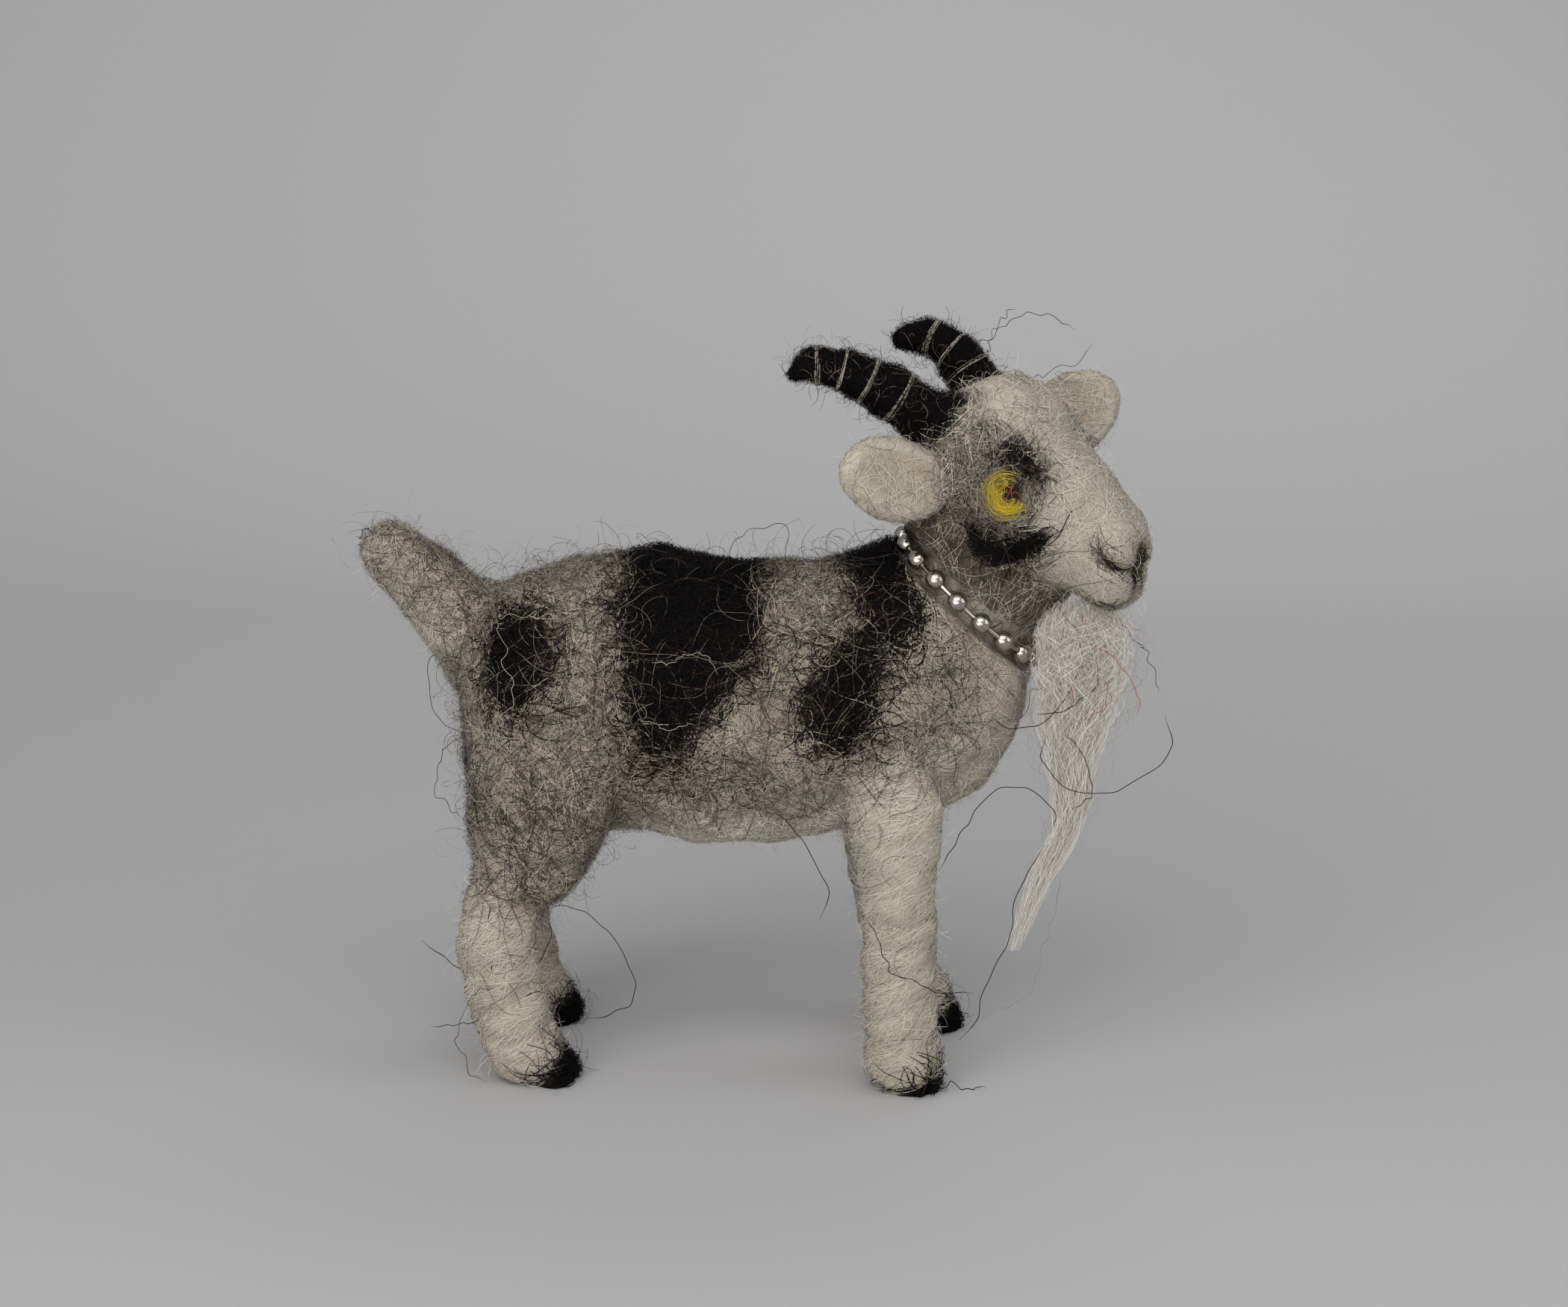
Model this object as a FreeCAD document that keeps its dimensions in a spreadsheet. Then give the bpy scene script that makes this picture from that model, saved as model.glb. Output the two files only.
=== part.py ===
import FreeCAD, Part
import math
import os

# A small needle-felted goat that stands on four feet, with a ball-chain collar and a hanging beard.
# Millimetres. +X is the way the goat walks, +Y its left side, +Z up. The origin is on the floor,
# at the centre of the goat's outline.

os.makedirs("parts", exist_ok=True)
doc = FreeCAD.newDocument("felt_goat")
dims = doc.addObject("Spreadsheet::Sheet", "dims")

SIZES = {
    "coat_thickness": 1.2,
    "face_layer": 0.8,
    "leg_spread": 11.0,
    "nose_at": 22.0,
    "nose_up": 0.9,
    "nose_long": 2.4,
    "nose_wide": 2.9,
    "nose_tall": 2.0,
    "mouth_at": 16.4,
    "mouth_up": -3.1,
    "mouth_gap": 0.6,
    "mantle_up": 5.0,
    "mantle_back": 2.2,
    "mantle_long": 10.9,
    "mantle_wide": 10.2,
    "mantle_tall": 8.6,
    "band_height": 0.3,
    "band_width": 0.55,
    "sole_trim": 0.05,
    "collar_x": 25.05,
    "collar_z": 56.35,
    "collar_tilt": 41.8,
    "collar_radius": 10.4,
    "collar_count": 18,
    "ball_radius": 1.2,
    "ball_wall": 0.22,
    "pin_hole_radius": 0.42,
    "pin_radius": 0.3,
    "pin_head_radius": 0.6,
    "clasp_bore_radius": 1.25,
    "clasp_radius": 1.4,
    "clasp_length": 6.8,
    "clasp_hole_radius": 0.75,
    "neck_radius": 8.5,
    "neck_half_gap": 1.75,
    "neck_root_radius": 6.0,
    "neck_root_length": 7.0,
    "neck_top_length": 6.5,
    "head_x": 27.5,
    "head_y": -1.5,
    "head_z": 71.5,
    "head_yaw": -25.0,
    "head_pitch": 25.0,
    "reach": 60.0,
}

# Ovals across the torso, tail end first: x, centre height, half height, half width.
TORSO = [
    (-34.3, 43.0, 3.5, 3.0),
    (-33.2, 43.0, 9.0, 7.8),
    (-30.0, 42.8, 13.6, 12.0),
    (-23.0, 43.3, 15.9, 14.0),
    (-12.0, 44.2, 16.5, 14.2),
    (0.0, 43.2, 16.4, 14.0),
    (10.0, 44.3, 16.2, 13.7),
    (18.0, 46.5, 17.0, 13.0),
    (25.0, 48.8, 16.0, 11.4),
    (29.5, 50.0, 12.0, 8.6),
    (31.8, 50.5, 5.5, 4.5),
    (32.4, 50.5, 2.0, 1.8),
]

# Ovals across the head in its own frame, back of the skull first: the same four sizes.
HEAD = [
    (-8.0, 1.0, 2.5, 2.3),
    (-6.8, 1.0, 5.8, 5.2),
    (-3.0, 1.0, 9.0, 8.2),
    (2.0, 0.6, 10.1, 9.0),
    (7.5, -0.4, 8.6, 8.0),
    (12.5, -1.0, 7.2, 6.4),
    (17.5, -0.9, 6.0, 5.3),
    (20.6, -1.2, 5.0, 4.6),
    (22.2, -1.3, 2.9, 2.6),
]

# Level ovals down each limb: height, centre x, half length along x, half width along y.
LIMBS = {
    "front_leg_near": [
        (40.5, 16.4, 2.4, 1.2),
        (37.5, 16.5, 4.6, 2.7),
        (33.5, 16.6, 5.5, 3.9),
        (29.0, 16.8, 5.1, 4.4),
        (24.0, 17.1, 4.3, 4.3),
        (18.0, 17.3, 3.9, 3.9),
        (12.0, 17.4, 4.1, 4.1),
        (5.4, 18.1, 4.1, 4.1),
        (1.6, 18.3, 3.8, 3.7),
        (0.4, 18.3, 3.1, 3.0),
    ],
    "front_leg_far": [
        (40.5, 14.9, 2.4, 1.2),
        (37.5, 14.9, 4.6, 2.7),
        (33.5, 14.8, 5.5, 3.9),
        (29.0, 14.7, 5.1, 4.4),
        (24.0, 14.6, 4.5, 4.3),
        (18.0, 15.2, 4.1, 3.9),
        (12.0, 16.4, 4.1, 4.1),
        (5.4, 18.2, 4.1, 4.1),
        (1.6, 19.2, 3.8, 3.7),
        (0.4, 19.3, 3.1, 3.0),
    ],
    "hind_leg_near": [
        (33.0, -24.8, 7.0, 4.4),
        (29.0, -25.6, 6.4, 4.4),
        (24.0, -27.2, 5.2, 4.3),
        (17.7, -29.4, 4.6, 4.2),
        (12.0, -28.8, 4.4, 4.2),
        (8.3, -28.0, 4.4, 4.2),
        (4.0, -26.4, 4.5, 4.2),
        (1.6, -25.6, 4.4, 4.0),
        (0.4, -25.4, 3.6, 3.2),
    ],
    "hind_leg_far": [
        (33.0, -25.4, 7.0, 4.4),
        (29.0, -26.4, 6.4, 4.4),
        (24.0, -28.4, 5.2, 4.3),
        (17.7, -31.0, 4.5, 4.2),
        (12.0, -30.6, 4.3, 4.2),
        (8.3, -29.8, 4.3, 4.2),
        (4.0, -28.4, 4.4, 4.2),
        (1.6, -27.8, 4.3, 4.0),
        (0.4, -27.6, 3.5, 3.2),
    ],
    "haunch_near": [
        (44.0, -23.8, 4.0, 1.6),
        (39.5, -23.8, 7.4, 3.4),
        (35.5, -23.9, 8.2, 4.3),
        (31.0, -24.4, 7.8, 4.8),
        (26.0, -25.2, 6.6, 4.8),
        (23.2, -25.8, 5.2, 4.2),
        (22.0, -26.0, 3.2, 3.0),
    ],
    "haunch_far": [
        (44.0, -24.2, 4.0, 1.6),
        (39.5, -24.2, 7.4, 3.4),
        (35.5, -24.4, 8.2, 4.3),
        (31.0, -25.0, 7.8, 4.8),
        (26.0, -26.2, 6.6, 4.8),
        (23.2, -27.0, 5.2, 4.2),
        (22.0, -27.2, 3.2, 3.0),
    ],
}

# Level ovals down the beard, and the side that it hangs on.
BEARD = [
    (57.5, 37.55, 1.0, 1.0),
    (56.4, 37.55, 2.4, 2.1),
    (53.8, 37.7, 3.4, 2.5),
    (48.0, 37.7, 3.3, 2.4),
    (41.0, 37.3, 2.7, 2.1),
    (33.0, 37.5, 1.8, 1.5),
    (26.0, 36.2, 1.1, 1.0),
    (20.0, 33.6, 0.65, 0.6),
    (15.0, 31.4, 0.35, 0.35),
]

# Round stations along a bent piece: x, y, z, radius.
BENT = {
    "tail": [
        (-29.0, 0.0, 47.6, 6.2),
        (-34.5, 0.0, 52.3, 5.3),
        (-38.2, 0.0, 56.0, 4.2),
        (-41.4, 0.0, 59.2, 3.7),
        (-43.8, 0.0, 61.4, 3.0),
        (-45.2, 0.0, 62.6, 1.3),
    ],
    "horn_near": [
        (25.0, -4.4, 74.2, 3.6),
        (20.6, -5.3, 77.6, 3.5),
        (16.6, -6.0, 80.3, 2.95),
        (13.2, -6.4, 82.2, 2.5),
        (10.3, -6.7, 83.3, 2.15),
        (7.6, -6.9, 83.8, 1.8),
        (5.6, -7.0, 83.4, 1.3),
        (4.7, -7.0, 82.4, 0.7),
    ],
    "horn_far": [
        (28.6, 3.4, 75.6, 3.3),
        (26.0, 4.5, 79.2, 3.0),
        (24.2, 5.2, 81.9, 2.7),
        (22.4, 5.9, 84.0, 2.4),
        (20.3, 6.5, 85.2, 2.05),
        (18.2, 6.9, 85.5, 1.7),
        (16.6, 7.2, 85.0, 1.2),
        (15.8, 7.3, 84.3, 0.6),
    ],
    "spine_wire": [
        (-42.0, 0.0, 59.8, 0.5),
        (-37.0, 0.0, 54.8, 0.5),
        (-31.5, 0.0, 50.0, 0.5),
        (-24.0, 0.0, 48.0, 0.5),
        (-8.0, 0.0, 48.0, 0.5),
        (8.0, 0.0, 48.2, 0.5),
        (16.0, 0.0, 49.8, 0.5),
        (21.0, 0.0, 52.8, 0.5),
        (25.05, 0.0, 56.9, 0.5),
        (27.0, -0.4, 62.0, 0.5),
        (27.6, -1.0, 68.0, 0.5),
        (27.8, -1.4, 72.0, 0.5),
    ],
    "front_leg_wire": [
        (18.0, -11.0, 2.6, 0.5),
        (17.4, -11.0, 12.0, 0.5),
        (17.0, -11.0, 24.0, 0.5),
        (16.8, -10.2, 36.0, 0.5),
        (16.6, -6.4, 44.0, 0.5),
        (16.4, 0.0, 46.8, 0.5),
        (16.0, 6.4, 44.0, 0.5),
        (15.3, 10.2, 36.0, 0.5),
        (14.8, 11.0, 24.0, 0.5),
        (16.3, 11.0, 12.0, 0.5),
        (18.6, 11.0, 2.6, 0.5),
    ],
    "hind_leg_wire": [
        (-26.4, -11.0, 2.6, 0.5),
        (-28.0, -11.0, 9.0, 0.5),
        (-29.2, -11.0, 17.7, 0.5),
        (-27.2, -10.8, 25.0, 0.5),
        (-25.4, -9.8, 35.0, 0.5),
        (-25.0, -5.8, 42.8, 0.5),
        (-25.0, 0.0, 45.6, 0.5),
        (-25.2, 5.8, 42.8, 0.5),
        (-26.0, 9.8, 35.0, 0.5),
        (-28.2, 10.8, 25.0, 0.5),
        (-30.8, 11.0, 17.7, 0.5),
        (-29.8, 11.0, 9.0, 0.5),
        (-28.3, 11.0, 2.6, 0.5),
    ],
    "horn_wire": [
        (7.6, -6.9, 83.8, 0.4),
        (10.3, -6.7, 83.3, 0.4),
        (13.2, -6.4, 82.2, 0.4),
        (16.6, -6.0, 80.3, 0.4),
        (20.6, -5.3, 77.6, 0.4),
        (24.4, -2.8, 75.2, 0.4),
        (26.6, 0.6, 75.2, 0.4),
        (26.8, 3.4, 77.2, 0.4),
        (25.6, 4.7, 79.9, 0.4),
        (24.2, 5.2, 81.9, 0.4),
        (22.4, 5.9, 84.0, 0.4),
        (20.3, 6.5, 85.2, 0.4),
        (18.2, 6.9, 85.5, 0.4),
    ],
}

# Half-domed toes: x, y, half length, half width, height.
HOOVES = {
    "hoof_front_near": (19.4, -11.0, 3.1, 3.7, 3.8),
    "hoof_front_far": (20.9, 11.0, 3.1, 3.7, 3.8),
    "hoof_hind_near": (-23.0, -11.0, 2.9, 3.9, 3.8),
    "hoof_hind_far": (-25.4, 11.0, 2.9, 3.9, 3.8),
}

# Leaf-shaped ears: centre, the direction from root to tip, the way the hollow faces, half sizes.
EARS = {
    "ear_near": ((16.6, -10.7, 71.6), (-0.87, -0.42, 0.26), (0.5, -0.86, 0.09), (6.8, 4.6, 1.5)),
    "ear_far": ((36.6, 8.0, 76.4), (0.62, 0.48, 0.62), (0.10, -0.82, 0.56), (6.3, 4.6, 1.5)),
}

# Outlines seen from the side, used across the whole body: x, z.
OUTLINES = {
    "coat": [
        (-36.0, 20.0), (-20.0, 20.0), (-17.6, 27.6), (-13.9, 35.4), (-9.4, 34.8), (-0.3, 34.5),
        (8.7, 35.1), (15.8, 36.6), (22.0, 41.3), (25.1, 46.0), (26.0, 50.0), (31.0, 52.0),
        (31.0, 72.0), (-36.0, 72.0),
    ],
    "saddle": [
        (-15.5, 66.0), (-14.2, 54.0), (-13.7, 45.0), (-11.6, 40.2), (-10.0, 36.9), (-8.3, 38.6),
        (-6.8, 42.2), (-2.3, 46.9), (0.9, 51.5), (1.3, 56.0), (0.0, 66.0),
    ],
    "withers": [
        (9.5, 67.0), (9.8, 60.5), (12.7, 59.0), (12.8, 56.0), (14.6, 51.8), (17.0, 51.3),
        (19.1, 52.7), (19.3, 56.0), (17.8, 59.0), (17.3, 67.0),
    ],
}

# Tufts laid into the coat on each side: x, height, half length, half height, lean in degrees.
BODY_TUFTS = {
    "rump_patch": (-26.6, 50.8, 4.0, 6.9, 0.0),
    "shoulder_patch": (10.9, 46.4, 3.9, 6.4, 13.0),
}

# Tufts laid into the face, in the head's frame: along, up, half length, half height, lean.
FACE_TUFTS = {
    "brow_patch": (2.6, 5.4, 2.6, 2.0, 0.0),
    "cheek_patch": (7.4, -4.4, 4.6, 1.9, -20.0),
    "eye_patch": (2.6, 0.4, 7.0, 7.6, 0.0),
}

EYE = {"along": 5.4, "side": 8.3, "up": 0.9, "ring": 1.6, "thread": 0.5, "pupil": 0.9}


def fill_sheet():
    """Writes every size into the sheet, one row each, under its own name."""
    table = dict(SIZES)
    for name, rows in [("torso", TORSO), ("head", HEAD), ("beard", BEARD), *LIMBS.items()]:
        for i, row in enumerate(rows, 1):
            for part, value in zip(("at", "mid", "tall", "wide"), row):
                table[f"{name}_{part}_{i}"] = value
    for name, rows in BENT.items():
        for i, row in enumerate(rows, 1):
            for part, value in zip(("px", "py", "pz", "radius"), row):
                table[f"{name}_{part}_{i}"] = value
    for name, row in HOOVES.items():
        for part, value in zip(("px", "py", "length", "width", "height"), row):
            table[f"{name}_{part}"] = value
    for name, (_, _, _, half) in EARS.items():
        for part, value in zip(("length", "width", "thickness"), half):
            table[f"{name}_{part}"] = value
    for name, row in [*BODY_TUFTS.items(), *FACE_TUFTS.items()]:
        for part, value in zip(("at", "mid", "long", "tall", "lean"), row):
            table[f"{name}_{part}"] = value
    for name, value in EYE.items():
        table[f"eye_{name}"] = value
    for row, (alias, value) in enumerate(table.items(), 1):
        dims.set(f"A{row}", alias)
        dims.set(f"B{row}", str(value))
        dims.setAlias(f"B{row}", alias)
    doc.recompute()


def size(alias):
    return float(dims.get(alias))


def bind(obj, **links):
    """Ties an object's properties to the sheet; a double underscore stands for a dot."""
    for key, text in links.items():
        obj.setExpression(key.replace("__", "."), text)


def add(kind, label, **links):
    obj = doc.addObject(kind, label)
    obj.Label = label
    bind(obj, **links)
    return obj


def boolean(kind, label, base, tool):
    obj = doc.addObject(kind, label)
    obj.Label = label
    obj.Base = base
    obj.Tool = tool
    obj.Refine = False
    return obj


def cut(label, base, *tools):
    """The base with each tool taken out of it in turn."""
    for i, tool in enumerate(tools, 1):
        step = label if i == len(tools) else f"{label}_step_{i}"
        base = boolean("Part::Cut", step, base, tool)
    return base


def common(label, base, tool):
    return boolean("Part::Common", label, base, tool)


def loft(label, sections):
    obj = doc.addObject("Part::Loft", label)
    obj.Label = label
    obj.Sections = sections
    obj.Solid = True
    return obj


def upright_ovals(label, name, rows, layer=None):
    """A loft through upright ovals along x; a layer makes it that much smaller all round."""
    last = len(rows)
    less = f" - dims.{layer}" if layer else ""
    shift = {1: f" + dims.{layer}", last: f" - dims.{layer}"} if layer else {}
    sections = []
    for i in range(1, last + 1):
        end = layer and i in (1, last)
        shrink = f" - dims.{layer} * 0.6" if end else less
        oval = add(
            "Part::Ellipse",
            f"{label}_oval_{i}",
            MajorRadius=f"dims.{name}_tall_{i}{shrink}",
            MinorRadius=f"dims.{name}_wide_{i}{shrink}",
        )
        oval.Placement = FreeCAD.Placement(
            FreeCAD.Vector(), FreeCAD.Rotation(FreeCAD.Vector(0, 1, 0), -90)
        )
        bind(
            oval,
            Placement__Base__x=f"dims.{name}_at_{i}{shift.get(i, '')}",
            Placement__Base__z=f"dims.{name}_mid_{i}",
        )
        sections.append(oval)
    return loft(label, sections)


def level_ovals(label, name, rows, side):
    """A loft through level ovals from the top down, at one side of the body."""
    sections = []
    for i in range(1, len(rows) + 1):
        oval = add(
            "Part::Ellipse",
            f"{label}_oval_{i}",
            MajorRadius=f"dims.{name}_tall_{i}",
            MinorRadius=f"dims.{name}_wide_{i}",
            Placement__Base__x=f"dims.{name}_mid_{i}",
            Placement__Base__y=side,
            Placement__Base__z=f"dims.{name}_at_{i}",
        )
        sections.append(oval)
    return loft(label, sections)


def bent_round(label, name, rows):
    """A loft through circles that stand square to a bent centreline."""
    points = [FreeCAD.Vector(*row[:3]) for row in rows]
    last = len(rows) - 1
    sections = []
    for i in range(len(rows)):
        along = points[min(i + 1, last)] - points[max(i - 1, 0)]
        circle = add("Part::Circle", f"{label}_ring_{i + 1}", Radius=f"dims.{name}_radius_{i + 1}")
        turn = FreeCAD.Rotation(FreeCAD.Vector(0, 0, 1), along)
        circle.Placement = FreeCAD.Placement(points[i], turn)
        bind(
            circle,
            Placement__Base__x=f"dims.{name}_px_{i + 1}",
            Placement__Base__y=f"dims.{name}_py_{i + 1}",
            Placement__Base__z=f"dims.{name}_pz_{i + 1}",
        )
        sections.append(circle)
    return loft(label, sections)


def bent_wire(label, name, rows):
    """A round wire swept along a smooth line through its points."""
    curve = Part.BSplineCurve()
    curve.interpolate([FreeCAD.Vector(*row[:3]) for row in rows])
    path = doc.addObject("Part::Feature", f"{label}_path")
    path.Shape = curve.toShape()
    path.Placement = FreeCAD.Placement()
    ring = add("Part::Circle", f"{label}_ring", Radius=f"dims.{name}_radius_1")
    turn = FreeCAD.Rotation(FreeCAD.Vector(0, 0, 1), curve.tangent(curve.FirstParameter)[0])
    ring.Placement = FreeCAD.Placement(FreeCAD.Vector(*rows[0][:3]), turn)
    wire = doc.addObject("Part::Sweep", label)
    wire.Label = label
    wire.Sections = [ring]
    wire.Spine = (path, ["Edge1"])
    wire.Solid = True
    wire.Frenet = False
    return wire


def side_outline(label, name):
    """An outline in the side view, carried across the whole body."""
    points = [FreeCAD.Vector(x, 0, z) for x, z in OUTLINES[name]]
    outline = doc.addObject("Part::Polygon", f"{label}_outline")
    outline.Nodes = points
    outline.Close = True
    solid = doc.addObject("Part::Extrusion", label)
    solid.Label = label
    solid.Base = outline
    solid.DirMode = "Custom"
    solid.Dir = FreeCAD.Vector(0, 1, 0)
    solid.Solid = True
    solid.Symmetric = True
    bind(solid, LengthFwd="dims.reach")
    return solid


def collar_frame():
    """The collar's centre, and the direction of the neck through it."""
    tilt = math.radians(size("collar_tilt"))
    centre = FreeCAD.Vector(size("collar_x"), 0, size("collar_z"))
    axis = FreeCAD.Vector(math.sin(tilt), 0, math.cos(tilt))
    return centre, axis


def head_frame():
    place = FreeCAD.Vector(size("head_x"), size("head_y"), size("head_z"))
    return FreeCAD.Placement(place, FreeCAD.Rotation(size("head_yaw"), size("head_pitch"), 0))


def beyond_collar(label, way):
    """A wide drum that covers everything past one face of the collar's gap."""
    centre, axis = collar_frame()
    drum = add("Part::Cylinder", label, Radius="dims.reach", Height="dims.reach")
    start = centre + axis * (way * size("neck_half_gap"))
    drum.Placement = FreeCAD.Placement(start, FreeCAD.Rotation(FreeCAD.Vector(0, 0, 1), axis * way))
    return drum


def make_neck():
    """The bare round of neck that the collar runs on, with a root at each end."""
    centre, axis = collar_frame()
    stages = [
        ("neck_root", "dims.neck_root_radius", "dims.neck_root_length + dims.neck_half_gap", -1),
        ("neck_top", "dims.neck_root_radius", "dims.neck_top_length + dims.neck_half_gap", 1),
    ]
    collar_seat = add(
        "Part::Cylinder", "neck_seat", Radius="dims.neck_radius", Height="dims.neck_half_gap * 2"
    )
    turn = FreeCAD.Rotation(FreeCAD.Vector(0, 0, 1), axis)
    collar_seat.Placement = FreeCAD.Placement(centre - axis * size("neck_half_gap"), turn)
    pieces = [collar_seat]
    for label, radius, height, way in stages:
        rod = add("Part::Cylinder", label, Radius=radius, Height=height)
        flip = FreeCAD.Rotation(FreeCAD.Vector(0, 0, 1), axis * way)
        rod.Placement = FreeCAD.Placement(centre, flip)
        pieces.append(rod)
    whole = doc.addObject("Part::MultiFuse", "neck_whole")
    whole.Shapes = pieces
    return whole


def ellipsoid(label, centre, turn, along, across, up):
    """An ellipsoid whose three half sizes are named in the sheet."""
    body = add("Part::Ellipsoid", label, Radius1=up, Radius2=along, Radius3=across)
    body.Placement = FreeCAD.Placement(centre, turn)
    return body


def make_mantle():
    """The thick ruff between the collar and the head."""
    centre, axis = collar_frame()
    turn = FreeCAD.Rotation(FreeCAD.Vector(0, 0, 1), axis)
    out = turn.multVec(FreeCAD.Vector(1, 0, 0))
    middle = centre + axis * size("mantle_up") - out * size("mantle_back")
    half = ("dims.mantle_long", "dims.mantle_wide", "dims.mantle_tall")
    return ellipsoid("mantle_blank", middle, turn, *half)


def ear_frame(name):
    centre, along, facing, _ = EARS[name]
    x = FreeCAD.Vector(*along).normalize()
    z = FreeCAD.Vector(*facing)
    z = (z - x * z.dot(x)).normalize()
    y = z.cross(x)
    return FreeCAD.Placement(FreeCAD.Vector(*centre), FreeCAD.Rotation(x, y, z, "XZY"))


def make_ear(name):
    """A leaf with a hollow, and the lining that is laid into the hollow."""
    place = ear_frame(name)
    half = (f"dims.{name}_length", f"dims.{name}_width", f"dims.{name}_thickness")
    leaf = ellipsoid(f"{name}_leaf", place.Base, place.Rotation, *half)
    front = place.Rotation.multVec(FreeCAD.Vector(0, 0, 1)) * (0.75 * size(f"{name}_thickness"))
    inner = (f"{half[0]} * 0.74", f"{half[1]} * 0.70", f"{half[2]} * 0.55")
    lens = ellipsoid(f"{name}_lens", place.Base + front, place.Rotation, *inner)
    return leaf, lens


def side_tuft(label, name, side, frame, depth):
    """An upright oval lens that reaches into one side of the body or head."""
    centre = FreeCAD.Vector(size(f"{name}_at"), side, size(f"{name}_mid"))
    lean = FreeCAD.Rotation(FreeCAD.Vector(0, 1, 0), size(f"{name}_lean"))
    place = frame.multiply(FreeCAD.Placement(centre, lean))
    half = (f"dims.{name}_long", depth, f"dims.{name}_tall")
    return ellipsoid(label, place.Base, place.Rotation, *half)


def make_dome(name):
    """A hoof's half dome, set a little low and trimmed so that its sole is a true plane."""
    dome = add(
        "Part::Ellipsoid",
        f"{name}_dome",
        Radius1=f"dims.{name}_height + dims.sole_trim",
        Radius2=f"dims.{name}_length",
        Radius3=f"dims.{name}_width",
        Placement__Base__x=f"dims.{name}_px",
        Placement__Base__y=f"dims.{name}_py",
        Placement__Base__z="-dims.sole_trim",
    )
    dome.Angle1 = 0
    floor = add("Part::Box", f"{name}_floor", Length="20", Width="20", Height="5")
    floor.Placement.Base = FreeCAD.Vector(size(f"{name}_px") - 10, size(f"{name}_py") - 10, -5)
    return cut(f"{name}_trimmed", dome, floor)


def make_bands(label, horn, picks, blank):
    """Flat windings of pale thread around a horn at chosen stations."""
    rings = []
    rows = BENT[horn]
    for i in picks:
        before, after = (FreeCAD.Vector(*rows[k][:3]) for k in (i - 1, i + 1))
        drum = add(
            "Part::Cylinder",
            f"{label}_{i}_drum",
            Radius=f"dims.{horn}_radius_{i + 1} + dims.band_height",
            Height="dims.band_width",
        )
        turn = FreeCAD.Rotation(FreeCAD.Vector(0, 0, 1), after - before)
        low = turn.multVec(FreeCAD.Vector(0, 0, -size("band_width") / 2))
        drum.Placement = FreeCAD.Placement(FreeCAD.Vector(*rows[i][:3]) + low, turn)
        rings.append(cut(f"{label}_{i}", drum, blank))
    group = doc.addObject("Part::Compound", label)
    group.Label = label
    group.Links = rings
    return group


def eye_place(side):
    """Where an eye sits, facing out of its side of the head."""
    spot = FreeCAD.Vector(size("eye_along"), side * size("eye_side"), size("eye_up"))
    turn = FreeCAD.Rotation(FreeCAD.Vector(1, 0, 0), -90 * side)
    return head_frame().multiply(FreeCAD.Placement(spot, turn))


def make_eye(tag, side):
    """A crescent of thread around a small round pupil."""
    place = eye_place(side)
    iris = add("Part::Torus", f"iris_{tag}", Radius1="dims.eye_ring", Radius2="dims.eye_thread")
    iris.Angle3 = 250
    open_way = FreeCAD.Rotation(FreeCAD.Vector(0, 0, 1), 120 if side < 0 else 170)
    iris.Placement = place.multiply(FreeCAD.Placement(FreeCAD.Vector(), open_way))
    half = ("dims.eye_pupil", "dims.eye_pupil", "dims.eye_thread")
    pupil = ellipsoid(f"pupil_{tag}", place.Base, place.Rotation, *half)
    return iris, pupil


def ring_place(turn_deg):
    """The frame of the collar's ring at one angle: x outward, y along the ring, z up the neck."""
    centre, axis = collar_frame()
    lay = FreeCAD.Rotation(FreeCAD.Vector(0, 1, 0), size("collar_tilt"))
    spin = FreeCAD.Rotation(FreeCAD.Vector(0, 0, 1), turn_deg)
    return FreeCAD.Placement(centre, lay.multiply(spin))


def collar_spots():
    """The centres of the balls, starting next to the clasp on the goat's left side."""
    count = int(size("collar_count"))
    step = 360.0 / count
    out = FreeCAD.Vector(size("collar_radius"), 0, 0)
    return [ring_place(90 + step * (i + 0.5)).multVec(out) for i in range(count)]


def stored(label, solids):
    """Keeps repeated small hardware as one group of separate solids."""
    obj = doc.addObject("Part::Feature", label)
    obj.Label = label
    obj.Shape = Part.makeCompound(solids)
    obj.Placement = FreeCAD.Placement()
    return obj


def make_balls(spots):
    """Hollow balls, each with a hole towards either neighbour."""
    radius = size("ball_radius")
    bore = size("pin_hole_radius")
    balls = []
    for i, spot in enumerate(spots):
        ball = Part.makeSphere(radius, spot)
        ball = ball.cut(Part.makeSphere(radius - size("ball_wall"), spot))
        for other in (spots[i - 1], spots[(i + 1) % len(spots)]):
            ball = ball.cut(Part.makeCylinder(bore, radius * 1.5, spot, other - spot))
        balls.append(ball)
    return stored("collar_balls", balls)


def make_links(spots):
    """Pins with a round head inside each of two neighbouring balls."""
    links = []
    inset = size("ball_radius") - size("ball_wall") - size("pin_head_radius") - 0.05
    for i in range(len(spots) - 1):
        first, second = spots[i], spots[i + 1]
        along = (second - first).normalize()
        start, end = first + along * inset, second - along * inset
        pin = Part.makeCylinder(size("pin_radius"), (end - start).Length, start, along)
        heads = [Part.makeSphere(size("pin_head_radius"), point) for point in (start, end)]
        links.append(pin.multiFuse(heads).removeSplitter())
    return stored("collar_links", links)


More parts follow.
